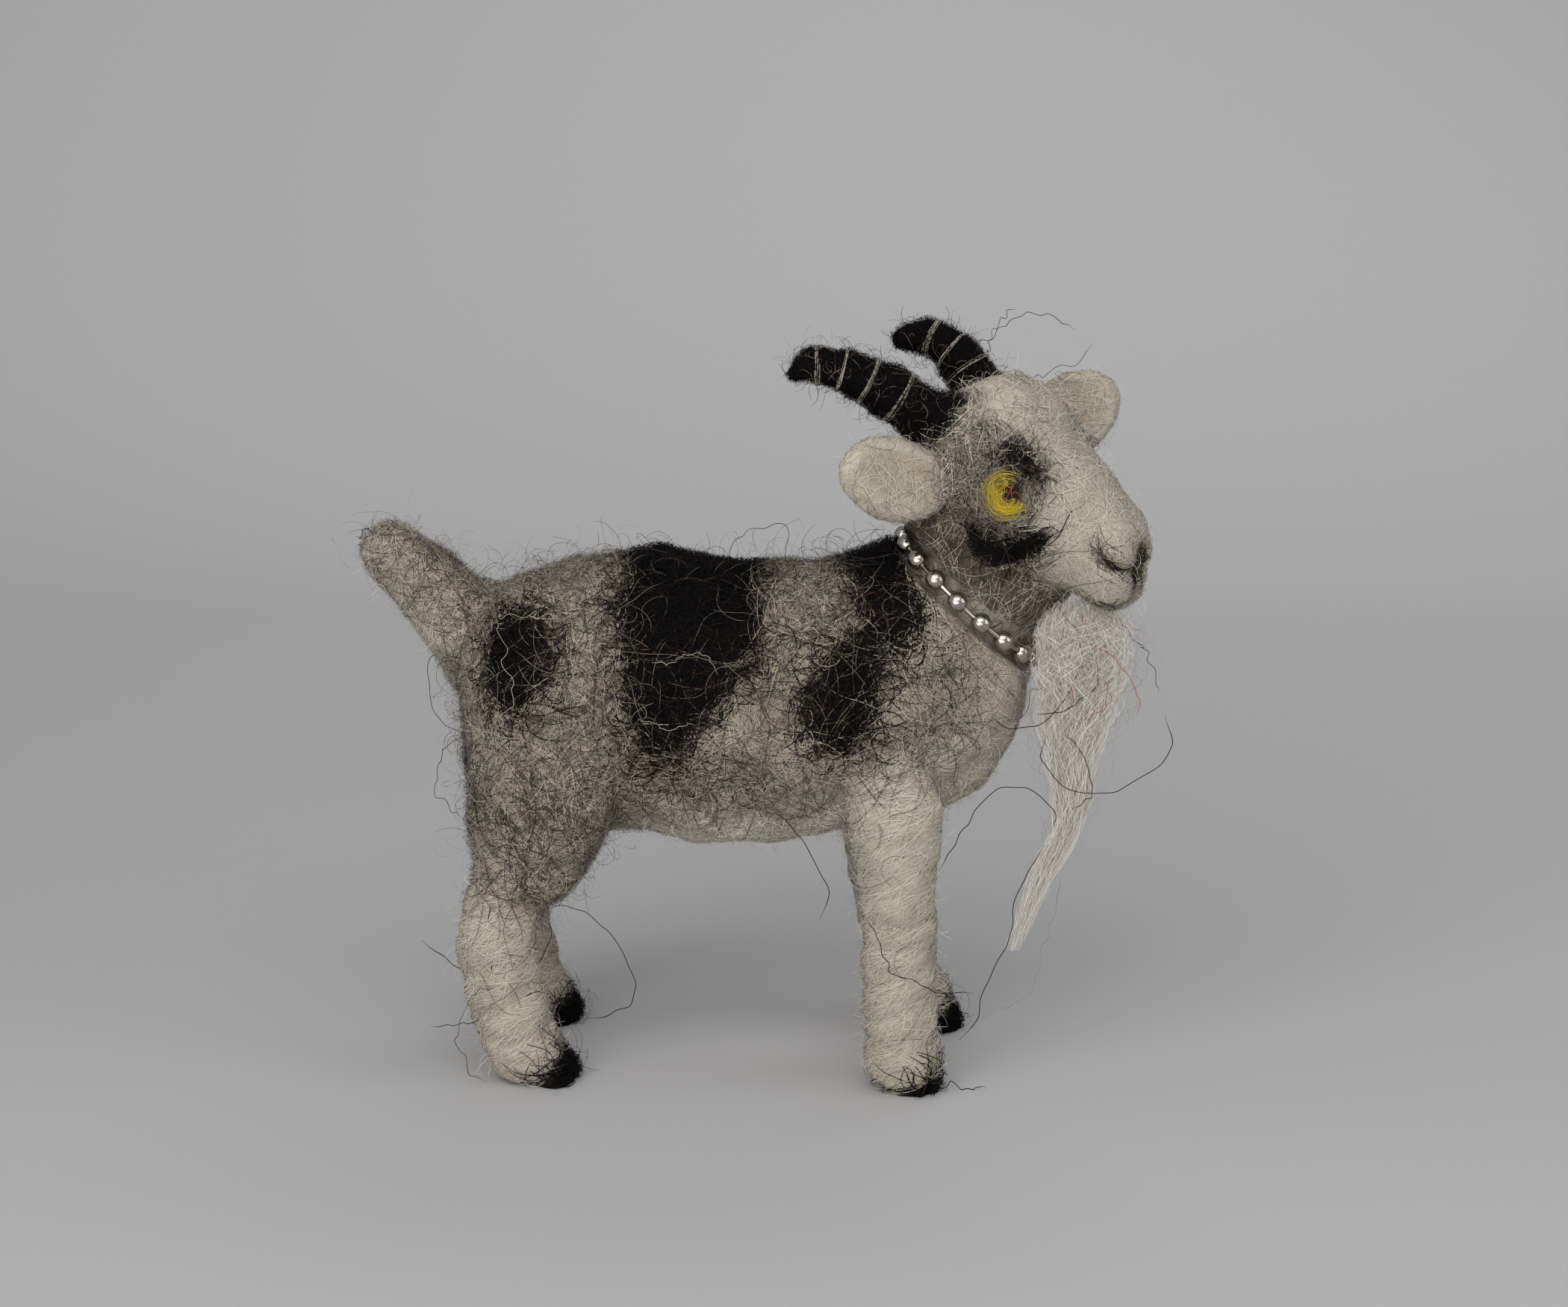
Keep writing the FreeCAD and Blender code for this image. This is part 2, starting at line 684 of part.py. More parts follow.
def make_clasp(spots):
    """A rolled sleeve, closed at both ends but for the pin holes and a slot down one side."""
    first, second = spots[-1], spots[0]
    along = (second - first).normalize()
    middle = (first + second) * 0.5
    start = middle - along * (size("clasp_length") / 2)
    wall = size("clasp_radius") - size("clasp_bore_radius")
    sleeve = Part.makeCylinder(size("clasp_radius"), size("clasp_length"), start, along)
    bore = Part.makeCylinder(
        size("clasp_bore_radius"), size("clasp_length") - 2 * wall, start + along * wall, along
    )
    pin_way = Part.makeCylinder(
        size("clasp_hole_radius"), size("clasp_length") * 2, start - along * 3, along
    )
    out = (middle - collar_frame()[0]).normalize()
    slot = Part.makeCylinder(size("pin_hole_radius"), size("clasp_radius") * 2, middle, out)
    return stored("collar_clasp", [sleeve.cut(bore).cut(pin_way).cut(slot)])


def make_wires():
    names = ("spine_wire", "front_leg_wire", "hind_leg_wire", "horn_wire")
    return {name: bent_wire(name, name, BENT[name]) for name in names}


def make_limb_blanks():
    blanks = {}
    for name, rows in LIMBS.items():
        side = "-dims.leg_spread" if name.endswith("near") else "dims.leg_spread"
        blanks[name] = level_ovals(f"{name}_blank", name, rows, side)
    return blanks


def make_body(wires, neck, blanks):
    """The torso, its coat and the dark patches that are laid into the coat."""
    above = beyond_collar("above_collar", -1)
    above.Placement.Rotation = FreeCAD.Rotation(FreeCAD.Vector(0, 0, 1), collar_frame()[1])
    full = cut("torso_full", upright_ovals("torso_blank", "torso", TORSO), above)
    inner = upright_ovals("torso_core", "torso", TORSO, "coat_thickness")
    skin = cut("torso_skin", full, inner)
    zone = common("coat_zone", skin, side_outline("coat_cutter", "coat"))
    saddle = common("saddle_patch", zone, side_outline("saddle_cutter", "saddle"))
    withers = common("withers_patch", zone, side_outline("withers_cutter", "withers"))
    patches = [saddle, withers]
    for name in BODY_TUFTS:
        for tag, side in (("near", -12.5), ("far", 12.5)):
            lens = side_tuft(f"{name}_{tag}_cutter", name, side, FreeCAD.Placement(), "9")
            patches.append(common(f"{name}_{tag}", zone, lens))
    inside = [wires[name] for name in ("spine_wire", "front_leg_wire", "hind_leg_wire")]
    coat = cut("grey_coat", zone, *patches, *inside)
    torso = cut("torso", full, zone, neck, *inside)
    return full, [torso, coat, *patches]


def make_legs(full, wires, blanks, domes):
    """Legs, haunches and hooves, each cut back where it meets another piece or a wire."""
    made = []
    for place in ("front", "hind"):
        wire = wires[f"{place}_leg_wire"]
        for tag in ("near", "far"):
            dome = domes[f"hoof_{place}_{tag}"]
            made.append(cut(f"hoof_{place}_{tag}", dome, wire))
            tools = [full, dome, wire]
            if place == "hind":
                haunch = blanks[f"haunch_{tag}"]
                made.append(cut(f"haunch_{tag}", haunch, full, wire))
                tools.insert(1, haunch)
            made.append(cut(f"{place}_leg_{tag}", blanks[f"{place}_leg_{tag}"], *tools))
    return made


def make_head(wires, neck):
    """The head with its ears, horns, face tufts, eyes, nose and mouth."""
    frame = head_frame()
    outer = upright_ovals("head_blank", "head", HEAD)
    inner = upright_ovals("head_core", "head", HEAD, "face_layer")
    for blank in (outer, inner):
        blank.Placement = frame
    skin = cut("face_skin", outer, inner)
    horns = {n: bent_round(f"{n}_blank", n, BENT[n]) for n in ("horn_near", "horn_far")}
    made = [
        make_bands("horn_thread_near", "horn_near", (2, 3, 4, 5), horns["horn_near"]),
        make_bands("horn_thread_far", "horn_far", (2, 3, 4), horns["horn_far"]),
    ]
    for name, blank in horns.items():
        made.append(cut(name, blank, wires["horn_wire"]))
    ears = {}
    for name in EARS:
        leaf, lens = make_ear(name)
        ears[name] = leaf
        lining = common(f"ear_lining_{name[4:]}", lens, leaf)
        made += [cut(name, leaf, lining), lining]
    inlays = []
    for tag, way in (("near", -1), ("far", 1)):
        iris, pupil = make_eye(tag, way)
        tufts = {}
        for name in FACE_TUFTS:
            cutter = side_tuft(f"{name}_{tag}_cutter", name, way * 8.5, frame, "6")
            tufts[name] = cutter
        brow = cut(f"brow_patch_{tag}", common(f"brow_{tag}_raw", skin, tufts["brow_patch"]), iris)
        cheek = common(f"cheek_patch_{tag}", skin, tufts["cheek_patch"])
        patch = cut(
            f"eye_patch_{tag}",
            common(f"eye_patch_{tag}_raw", skin, tufts["eye_patch"]),
            tufts["brow_patch"],
            tufts["cheek_patch"],
            iris,
            pupil,
            ears[f"ear_{tag}"],
            horns[f"horn_{tag}"],
        )
        inlays += [brow, cheek, patch, iris, pupil]
    tip = frame.multVec(FreeCAD.Vector(size("nose_at"), 0, size("nose_up")))
    half = ("dims.nose_long", "dims.nose_wide", "dims.nose_tall")
    nose_cutter = ellipsoid("nose_cutter", tip, frame.Rotation, *half)
    nose = common("nose", outer, nose_cutter)
    slab = add("Part::Box", "mouth_cutter", Length="8", Width="20", Height="dims.mouth_gap")
    corner = FreeCAD.Vector(size("mouth_at"), -10, size("mouth_up"))
    slab.Placement = frame.multiply(FreeCAD.Placement(corner, FreeCAD.Rotation()))
    mouth = common("mouth_line", outer, slab)
    tools = [*horns.values(), *ears.values(), neck, wires["spine_wire"], wires["horn_wire"]]
    head = cut("head", outer, *tools, nose_cutter, slab, *inlays)
    return outer, ears, [head, *inlays, nose, mouth, *made]


def make_ruff(outer, ears, neck, wires):
    below = beyond_collar("below_collar", 1)
    below.Placement.Rotation = FreeCAD.Rotation(FreeCAD.Vector(0, 0, 1), collar_frame()[1] * -1)
    blank = make_mantle()
    tools = [below, outer, *ears.values(), neck, wires["spine_wire"]]
    return cut("neck_mantle", blank, *tools)


def check_and_write(nodes):
    """Stops at the first piece that isn't sound, then writes one file per piece."""
    doc.recompute()
    failed = [obj.Label for obj in doc.Objects if {"Invalid", "Error"} & set(obj.State)]
    if failed:
        raise RuntimeError(f"these did not rebuild: {failed}")
    for node in nodes:
        if node.Shape.isNull() or not node.Shape.isValid() or node.Shape.Volume <= 0:
            raise RuntimeError(f"{node.Label} is not a sound solid")
    for node in nodes:
        node.Shape.exportStep(os.path.join("parts", node.Label + ".step"))
        box = node.Shape.BoundBox
        print(
            f"{node.Label:20s} solids {len(node.Shape.Solids):3d} volume {node.Shape.Volume:9.2f}"
            f" x {box.XMin:6.1f} {box.XMax:6.1f} y {box.YMin:6.1f} {box.YMax:6.1f}"
            f" z {box.ZMin:6.1f} {box.ZMax:6.1f}"
        )


def main():
    fill_sheet()
    wires = make_wires()
    neck_whole = make_neck()
    neck = cut("neck", neck_whole, wires["spine_wire"])
    blanks = make_limb_blanks()
    domes = {name: make_dome(name) for name in HOOVES}
    full, body = make_body(wires, neck_whole, blanks)
    legs = make_legs(full, wires, blanks, domes)
    tail = cut("tail", bent_round("tail_blank", "tail", BENT["tail"]), full, wires["spine_wire"])
    outer, ears, head = make_head(wires, neck_whole)
    mantle = make_ruff(outer, ears, neck_whole, wires)
    beard = level_ovals("beard", "beard", BEARD, "-6.5")
    spots = collar_spots()
    collar = [make_balls(spots), make_links(spots), make_clasp(spots)]
    nodes = [*body, *legs, tail, neck, mantle, *head, beard, *collar]
    check_and_write([*nodes, *wires.values()])


main()
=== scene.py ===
import math

import bpy
import numpy as np
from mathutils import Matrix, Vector
from mathutils.bvhtree import BVHTree


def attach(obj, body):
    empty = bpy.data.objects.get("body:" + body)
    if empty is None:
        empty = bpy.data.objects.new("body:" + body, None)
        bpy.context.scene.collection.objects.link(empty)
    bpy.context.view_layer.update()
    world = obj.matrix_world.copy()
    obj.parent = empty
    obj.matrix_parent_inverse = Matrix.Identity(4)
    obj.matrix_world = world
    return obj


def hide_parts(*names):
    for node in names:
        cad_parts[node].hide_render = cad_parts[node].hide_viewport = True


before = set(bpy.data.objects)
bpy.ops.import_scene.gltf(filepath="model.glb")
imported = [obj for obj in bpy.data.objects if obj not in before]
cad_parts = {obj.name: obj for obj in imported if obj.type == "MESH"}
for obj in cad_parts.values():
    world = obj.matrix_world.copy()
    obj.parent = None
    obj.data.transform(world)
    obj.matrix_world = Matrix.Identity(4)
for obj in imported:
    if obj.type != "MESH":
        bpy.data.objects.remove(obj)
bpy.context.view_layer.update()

# Lengths in this script are in millimetres until a mesh is made.
MM = 0.001


# ---------------------------------------------------------------- small helpers


def unit(v):
    return v / np.maximum(np.linalg.norm(v, axis=-1, keepdims=True), 1e-9)


def numbers(items, key, each, kind=np.int32):
    """One number or more from each item of a Blender collection."""
    out = np.empty(len(items) * each, kind)
    items.foreach_get(key, out)
    return out


def corners_of(mesh):
    return numbers(mesh.vertices, "co", 3, np.float32).reshape(-1, 3).astype(float) / MM


def cad_mesh(node):
    """A CAD node's corners and triangles."""
    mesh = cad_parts[node].data
    mesh.calc_loop_triangles()
    return corners_of(mesh), numbers(mesh.loop_triangles, "vertices", 3).reshape(-1, 3)


def joined(parts):
    """One mesh from a list of (corners, faces)."""
    shift = np.cumsum([0] + [len(v) for v, _ in parts[:-1]])
    faces = [f + n for (_, f), n in zip(parts, shift)]
    return np.concatenate([v for v, _ in parts]), np.concatenate(faces)


def make_object(name, verts, faces, material=None, normals=None):
    """A mesh object from arrays; every face has the same number of corners."""
    mesh = bpy.data.meshes.new(name)
    mesh.vertices.add(len(verts))
    mesh.vertices.foreach_set("co", np.ascontiguousarray(verts * MM, np.float32).ravel())
    mesh.loops.add(faces.size)
    mesh.loops.foreach_set("vertex_index", np.ascontiguousarray(faces, np.int32).ravel())
    mesh.polygons.add(len(faces))
    mesh.polygons.foreach_set("loop_start", np.arange(0, faces.size, faces.shape[1], dtype=np.int32))
    mesh.polygons.foreach_set("use_smooth", np.ones(len(faces), bool))
    mesh.update(calc_edges=True)
    if normals is not None:
        mesh.normals_split_custom_set_from_vertices(normals.tolist())
    obj = bpy.data.objects.new(name, mesh)
    bpy.context.scene.collection.objects.link(obj)
    if material:
        mesh.materials.append(material)
    return obj


def lumps(p, wavelength, seed, waves=28):
    """A smooth bumpy function of position, about -1 to 1."""
    r = np.random.default_rng(seed)
    k = unit(r.normal(size=(waves, 3))) * (2 * math.pi / wavelength) * r.uniform(0.6, 1.5, (waves, 1))
    return np.sin(p @ k.T + r.uniform(0, 2 * math.pi, waves)).sum(1) / math.sqrt(waves) * 0.9


def mesh_edges(faces):
    """Each edge once, as its two corners."""
    pairs = np.concatenate([faces[:, [i, (i + 1) % faces.shape[1]]] for i in range(faces.shape[1])])
    return np.unique(np.sort(pairs, axis=1), axis=0)


def neighbour_mean(values, edges, count):
    """The mean of each corner's neighbours."""
    total = np.empty_like(values)
    for i in range(values.shape[1]):
        total[:, i] = np.bincount(edges[:, 0], values[edges[:, 1], i], count)
        total[:, i] += np.bincount(edges[:, 1], values[edges[:, 0], i], count)
    return total / np.maximum(np.bincount(edges.ravel(), minlength=count), 1)[:, None]


def relax(verts, edges, rounds, weight=0.5):
    """Evens out a surface without shrinking it much."""
    for i in range(rounds * 2):
        step = weight if i % 2 == 0 else -weight * 1.04
        verts = verts + step * (neighbour_mean(verts, edges, len(verts)) - verts)
    return verts


def vertex_normals(verts, faces):
    """The way out at each corner of a mesh of quads."""
    a, b, c, d = verts[faces.T]
    n = np.cross(c - a, d - b)
    out = np.zeros_like(verts)
    for i in range(3):
        for j in range(4):
            out[:, i] += np.bincount(faces[:, j], n[:, i], len(verts))
    return unit(out)


def largest_shell(verts, faces):
    """Only the outer shell: hollows left inside by the wires are dropped."""
    edges = mesh_edges(faces)
    label = np.arange(len(verts))
    while True:
        low = np.minimum(label[edges[:, 0]], label[edges[:, 1]])
        new = label.copy()
        np.minimum.at(new, edges[:, 0], low)
        np.minimum.at(new, edges[:, 1], low)
        new = new[new]
        if (new == label).all():
            break
        label = new
    keep = label == np.bincount(label).argmax()
    index = np.cumsum(keep) - 1
    faces = faces[keep[faces].all(1)]
    return verts[keep], index[faces]


def voxel_mesh(nodes, voxel):
    """One skin over several CAD nodes."""
    obj = make_object("remesh_source", *joined([cad_mesh(node) for node in nodes]))
    mod = obj.modifiers.new("voxels", "REMESH")
    mod.mode = "VOXEL"
    mod.voxel_size = voxel * MM
    mesh = bpy.data.meshes.new_from_object(obj.evaluated_get(bpy.context.evaluated_depsgraph_get()))
    bpy.data.objects.remove(obj)
    verts, faces = corners_of(mesh), numbers(mesh.loops, "vertex_index", 1).reshape(-1, 4)
    bpy.data.meshes.remove(mesh)
    return largest_shell(verts, faces)


# ---------------------------------------------------------------- frames


def axes_of(x, z):
    """Rows are the axes of a frame with this x, and z as near as it can be."""
    x = unit(np.array(x, float))
    z = np.array(z, float)
    z = unit(z - x * (z @ x))
    return np.array([x, np.cross(z, x), z])


def turned(yaw, pitch):
    """Rows are the x, y and z axes of a frame turned by yaw and then nosed down by pitch."""
    y, p = math.radians(yaw), math.radians(pitch)
    x = np.array([math.cos(p) * math.cos(y), math.cos(p) * math.sin(y), -math.sin(p)])
    side = np.array([-math.sin(y), math.cos(y), 0.0])
    return np.array([x, side, np.cross(x, side)])


HEAD_AT = np.array([27.5, -1.5, 71.5])
HEAD = turned(-25, 25)  # yaw and pitch


def to_head(p):
    return (p - HEAD_AT) @ HEAD.T


def from_head(p):
    return np.asarray(p, float) @ HEAD + HEAD_AT


# The ring that the collar's balls stand on, square to the neck.
RING_AT = np.array([25.05, 0.0, 56.35])
RING_R = 10.4
NECK = turned(0, 41.8)
COLLAR_BALLS = 18
BALL_RADIUS = 1.2
MOUTH_SHARE = 0.93  # how far along its radius each end of a ball is cut flat
PIN_RADIUS = 0.30
LEG_MIDDLE = {"front": 17.4, "hind": -28.5}  # x of each pair's middle line
LEG_OUT = 11.0
SIDES = ("near", "far")
WAY = {"near": -1, "far": 1}  # the sign of Y on that side


def both(*names):
    """The near and the far node of each name."""
    return [f"{name}_{side}" for name in names for side in SIDES]


def ring_gap(p):
    """How far points are from the ring through the middles of the collar's balls."""
    local = (p - RING_AT) @ NECK.T
    return np.hypot(np.hypot(local[..., 0], local[..., 1]) - RING_R, local[..., 2])


# ---------------------------------------------------------------- materials


class Graph:
    """A material and its nodes."""

    def __init__(self, name):
        self.material = bpy.data.materials.new(name)
        self.material.use_nodes = True
        self.tree = self.material.node_tree
        self.shader = self.tree.nodes["Principled BSDF"]

    def feed(self, socket, value):
        """Links an output to a socket, or sets a plain value on it."""
        if isinstance(value, bpy.types.NodeSocket):
            self.tree.links.new(value, socket)
        else:
            socket.default_value = value

    def add(self, kind, inputs, **settings):
        node = self.tree.nodes.new(f"ShaderNode{kind}")
        for key, value in settings.items():
            setattr(node, key, value)
        for key, value in inputs.items():
            self.feed(node.inputs[key], value)
        return node

    def surface(self, inputs):
        """Sets the shader's own sockets and gives back the material."""
        for key, value in inputs.items():
            self.feed(self.shader.inputs[key], value)
        return self.material

    def position(self):
        """Position in millimetres."""
        where = self.add("TexCoord", {}).outputs["Object"]
        return self.add("VectorMath", {0: where, "Scale": 1000}, operation="SCALE").outputs[0]

    def noise(self, where, scale, detail, distortion=0.0):
        inputs = {"Vector": where, "Scale": scale, "Detail": detail, "Distortion": distortion}
        return self.add("TexNoise", inputs).outputs

    def ramp(self, value, source, target, **settings):
        """Turns one range of numbers into another."""
        ends = {"From Min": source[0], "From Max": source[1], "To Min": target[0], "To Max": target[1]}
        return self.add("MapRange", {"Value": value, **ends}, **settings).outputs[0]

    def warped(self, where, scale, amount, shift):
        """Positions pushed about by noise, so that a cell pattern turns into tangled lines."""
        push = self.noise(where, scale, 2.0)["Color"]
        less = self.add("VectorMath", {0: push, 1: (0.5, 0.5, 0.5)}, operation="SUBTRACT").outputs[0]
        times = {0: less, 1: (amount, amount, amount), 2: where}
        more = self.add("VectorMath", times, operation="MULTIPLY_ADD").outputs[0]
        return self.add("VectorMath", {0: more, 1: (shift, shift * 0.7, -shift)}, operation="ADD").outputs[0]

    def strand_lines(self, where, scale, width, shift):
        """Thin tangled lines, 1 on a strand and 0 between."""
        moved = self.warped(where, scale * 0.8, 1.6 / scale, shift)
        cells = self.add("TexVoronoi", {"Scale": scale, "Vector": moved}, feature="DISTANCE_TO_EDGE")
        return self.ramp(cells.outputs["Distance"], (0.0, width), (1.0, 0.0))

    def blend(self, factor, a, b, strength=1.0):
        """Mixes two colours, or an output and a colour, by a factor times strength."""
        if strength != 1.0:
            factor = self.add("Math", {0: factor, 1: strength}, operation="MULTIPLY").outputs[0]
        mix = self.add("Mix", {"Factor": factor}, data_type="RGBA")
        for name, value in (("A", a), ("B", b)):
            socket = next(s for s in mix.inputs if s.name == name and s.type == "RGBA")
            self.feed(socket, (*value, 1.0) if isinstance(value, tuple) else value)
        return next(s for s in mix.outputs if s.type == "RGBA")

    def bump(self, height, strength, distance):
        """A bumped normal; distance is in millimetres."""
        inputs = {"Height": height, "Strength": strength, "Distance": distance * MM}
        return self.add("Bump", inputs).outputs["Normal"]


def strand_material(name, colour):
    """One tone of loose wool, plain so that thousands of strands share it; dark wool has hardly any gloss."""
    light = colour[0] > 0.1
    return Graph(name).surface(
        {
            "Base Color": (*colour, 1.0),
            "Roughness": 0.8,
            "Specular IOR Level": 0.15 if light else 0.04,
            "Sheen Weight": 0.12 if light else 0.0,
        }
    )


def metal(name, colour, rough, scratch):
    """Plated metal with fine wear."""
    graph = Graph(name)
    wear = graph.noise(graph.position(), scratch, 4.0)["Fac"]
    worn = tuple(c * 0.82 for c in colour)
    return graph.surface(
        {
            "Base Color": graph.blend(wear, worn, colour),
            "Normal": graph.bump(wear, 0.08, 0.02),
            "Metallic": 1.0,
            "Roughness": rough,
        }
    )


# Each tone of wool: its slot, the colour of its mat, the colour of the strands in it, how strongly
# they show, and its sheen.
WOOL = {
    "cream": ("cream_wool", (0.41, 0.368, 0.285), (0.52, 0.49, 0.41), 0.45, 0.18),
    "grey": ("grey_wool", (0.50, 0.44, 0.33), (0.14, 0.12, 0.095), 0.30, 0.20),
    "mantle": ("grey_brown_wool", (0.095, 0.078, 0.056), (0.035, 0.029, 0.022), 0.45, 0.08),
    "black": ("black_wool", (0.0035, 0.003, 0.003), (0.012, 0.010, 0.010), 0.50, 0.0),
    "face": ("grey_wool", (0.20, 0.185, 0.16), (0.035, 0.034, 0.034), 0.55, 0.12),
    "lining": ("beige_wool", (0.36, 0.305, 0.205), (0.50, 0.45, 0.35), 0.50, 0.18),
}
LEGS, HOOVES = both("front_leg", "hind_leg"), both("hoof_front", "hoof_hind")
MARKS = both("brow_patch", "cheek_patch")
SPOTS = both("rump_patch", "shoulder_patch")
SKIN = {
    "cream": ["torso", "neck", "head", *LEGS, *both("ear")],
    "grey": ["grey_coat", "tail", *both("haunch")],
    "mantle": ["neck_mantle"],
    "black": ["saddle_patch", "withers_patch", *SPOTS, *MARKS, *HOOVES, *both("horn")],
    "face": both("eye_patch"),
    "lining": both("ear_lining"),
}
FACE = ["head", *both("eye_patch"), *MARKS]
SKIN_NODES = [node for nodes in SKIN.values() for node in nodes]
TONE = {node: tone for tone, nodes in SKIN.items() for node in nodes}
TONES = list(SKIN)
WIRES = ["spine_wire", "front_leg_wire", "hind_leg_wire", "horn_wire"]
# Inlays, threads and wires, which only keep the skin closed.
FILL = [*both("iris", "pupil"), "nose", "mouth_line", *both("horn_thread"), *WIRES]


def felt(tone):
    """Needled wool: the mat's own blended colour, tangled strands over it, and a matted surface."""
    _, _, strand, share, sheen = WOOL[tone]
    graph = Graph(f"felt_{tone}")
    where = graph.position()
    own = graph.add("Attribute", {}, attribute_name="wool").outputs["Color"]
    shade = graph.ramp(graph.noise(where, 0.9, 4.0)["Fac"], (0.3, 0.7), (0.0, 0.3))
    colour = graph.blend(shade, own, strand)
    first = graph.strand_lines(where, 1.3, 0.09, 3.1)
    second = graph.strand_lines(where, 2.3, 0.08, 11.7)
    colour = graph.blend(first, colour, strand, share)
    colour = graph.blend(second, colour, strand, share * 0.7)
    grain = graph.noise(where, 3.2, 5.0, 0.6)["Fac"]
    height = graph.add("Math", {0: grain, 1: first}, operation="ADD").outputs[0]
    return graph.surface(
        {
            "Base Color": colour,
            "Normal": graph.bump(height, 0.35, 0.25),
            "Roughness": 0.95,
            "Specular IOR Level": 0.02 if tone == "black" else 0.1,
            "Sheen Weight": sheen,
            "Sheen Roughness": 0.6,
        }
    )


FELT = {tone: felt(tone) for tone in WOOL}
# Each tone of loose strand: its slot and its colour.
STRANDS = {
    "black": ("black_wool", (0.0045, 0.004, 0.004)),
    "dark": ("grey_wool", (0.014, 0.012, 0.011)),
    "brown": ("grey_wool", (0.050, 0.039, 0.029)),
    "rust": ("dark_brown_wool", (0.045, 0.018, 0.013)),
    "mid": ("grey_wool", (0.155, 0.135, 0.105)),
    "ash": ("grey_wool", (0.31, 0.28, 0.225)),
    "pale": ("cream_wool", (0.46, 0.415, 0.32)),
    "shade": ("cream_wool", (0.31, 0.27, 0.20)),
    "cream": ("cream_wool", (0.44, 0.40, 0.315)),
    "ivory": ("cream_wool", (0.52, 0.485, 0.405)),
    "white": ("white_wisp", (0.78, 0.76, 0.72)),
    "yellow": ("yellow_wool", (0.60, 0.43, 0.02)),
    "olive": ("yellow_wool", (0.36, 0.29, 0.05)),
    "red": ("dark_brown_wool", (0.34, 0.07, 0.03)),
}
STRAND = {name: strand_material(f"strand_{name}", colour) for name, (_, colour) in STRANDS.items()}
METAL = metal("nickel_plate", (0.46, 0.43, 0.385), 0.17, 1.4)
WIRE = metal("armature_wire", (0.45, 0.44, 0.43), 0.35, 3.0)


# ---------------------------------------------------------------- shapes repeated from the part


# Stations along each horn: x, y, z and radius.
HORNS = {
    "near": [
        (25.0, -4.4, 74.2, 3.6),
        (20.6, -5.3, 77.6, 3.5),
        (16.6, -6.0, 80.3, 2.95),
        (13.2, -6.4, 82.2, 2.5),
        (10.3, -6.7, 83.3, 2.15),
        (7.6, -6.9, 83.8, 1.8),
        (5.6, -7.0, 83.4, 1.3),
    ],
    "far": [
        (28.6, 3.4, 75.6, 3.3),
        (26.0, 4.5, 79.2, 3.0),
        (24.2, 5.2, 81.9, 2.7),
        (22.4, 5.9, 84.0, 2.4),
        (20.3, 6.5, 85.2, 2.05),
        (18.2, 6.9, 85.5, 1.7),
    ],
}
# How far along the horn its root blends into the head's wool.
HORN_ROOT = {"near": 4.8, "far": 2.8}
BANDS = {"near": (2, 3, 4, 5), "far": (2, 3, 4)}  # stations that thread is wound round
# Centre, the way from root to tip, the way the hollow faces, and the half length and width.
EARS = {
    "near": ((16.6, -10.7, 71.6), (-0.87, -0.42, 0.26), (0.5, -0.86, 0.09), (6.8, 4.6)),
    "far": ((36.6, 8.0, 76.4), (0.62, 0.48, 0.62), (0.10, -0.82, 0.56), (6.3, 4.6)),
}
EYE_U, EYE_W = 5.9, 1.3  # how far forward and up, in the head's frame
EYES = {side: from_head((EYE_U, WAY[side] * 8.5, EYE_W)) for side in SIDES}


def band_places(side):
    """Centre, direction and radius of each thread band on a horn."""
    line = np.array(HORNS[side])
    for i in BANDS[side]:
        after = line[min(i + 1, len(line) - 1), :3]
        yield line[i, :3], unit(after - line[i - 1, :3]), line[i, 3]


# ---------------------------------------------------------------- the felt skin


VOXEL = 0.40


class Nearest:
    """Finds which CAD node a point on the skin belongs to."""

    def __init__(self, nodes):
        meshes = [cad_mesh(node) for node in nodes]
        self.owner = np.repeat(np.arange(len(nodes)), [len(tris) for _, tris in meshes])
        verts, tris = joined(meshes)
        self.tree = BVHTree.FromPolygons(verts.tolist(), tris.tolist())

    def __call__(self, points):
        find = self.tree.find_nearest
        return self.owner[[find(p)[2] for p in points.tolist()]]


def bump_at(p, centre, radius, height):
    """A soft round rise, or a hollow if the height is below zero."""
    d2 = ((p - np.array(centre)) ** 2).sum(1)
    return height * np.exp(-d2 / (2 * radius**2))


# On each side of the head: forward, out and up, then the radius and the height.
HEAD_BUMPS = [
    ((-2.5, 3.0, 9.0), 2.6, 0.8),
    ((3.5, 0.0, 10.0), 2.4, 0.35),
    ((5.0, 6.4, 6.4), 2.2, 0.35),
    ((5.7, 8.6, 1.0), 1.9, -0.55),
    ((9.5, 6.6, -3.6), 2.6, 0.45),
    ((19.6, 3.6, 1.6), 2.0, 0.9),
    ((18.9, 2.2, -4.6), 1.9, 0.8),
    ((14.2, 5.8, 2.5), 1.8, -0.35),
    ((22.2, 1.5, 1.8), 0.6, -0.45),
]


def head_relief(h):
    """Rise of the head's surface at points in the head's frame."""
    u, v, w = h.T
    mirror = np.stack([u, np.abs(v), w], 1)
    rise = sum(bump_at(mirror, *bump) for bump in HEAD_BUMPS)
    lip = -0.9 + 0.14 * (21.0 - u)
    groove = np.exp(-(((w - lip) / 0.5) ** 2)) * np.clip((u - 16.0) / 2.0, 0, 1)
    rise -= 0.85 * groove
    split = np.exp(-((v / 0.4) ** 2)) * np.clip((u - 19.5) / 1.5, 0, 1) * np.clip((w + 1.2) / 1.5, 0, 1)
    rise -= 0.3 * split
    return np.where(u > -9.5, rise, 0.0)


def pull_muzzle(h):
    """Sets the muzzle back a little, with its upper front cut away and its nose lower."""
    t = np.clip((h[:, 0] - 10.0) / 12.0, 0, 1)
    t = t * t * (3 - 2 * t)
    out = h.copy()
    out[:, 0] -= 1.7 * t + 0.26 * (h[:, 2] + 1.0) * t
    out[:, 2] -= 0.5 * t
    return out


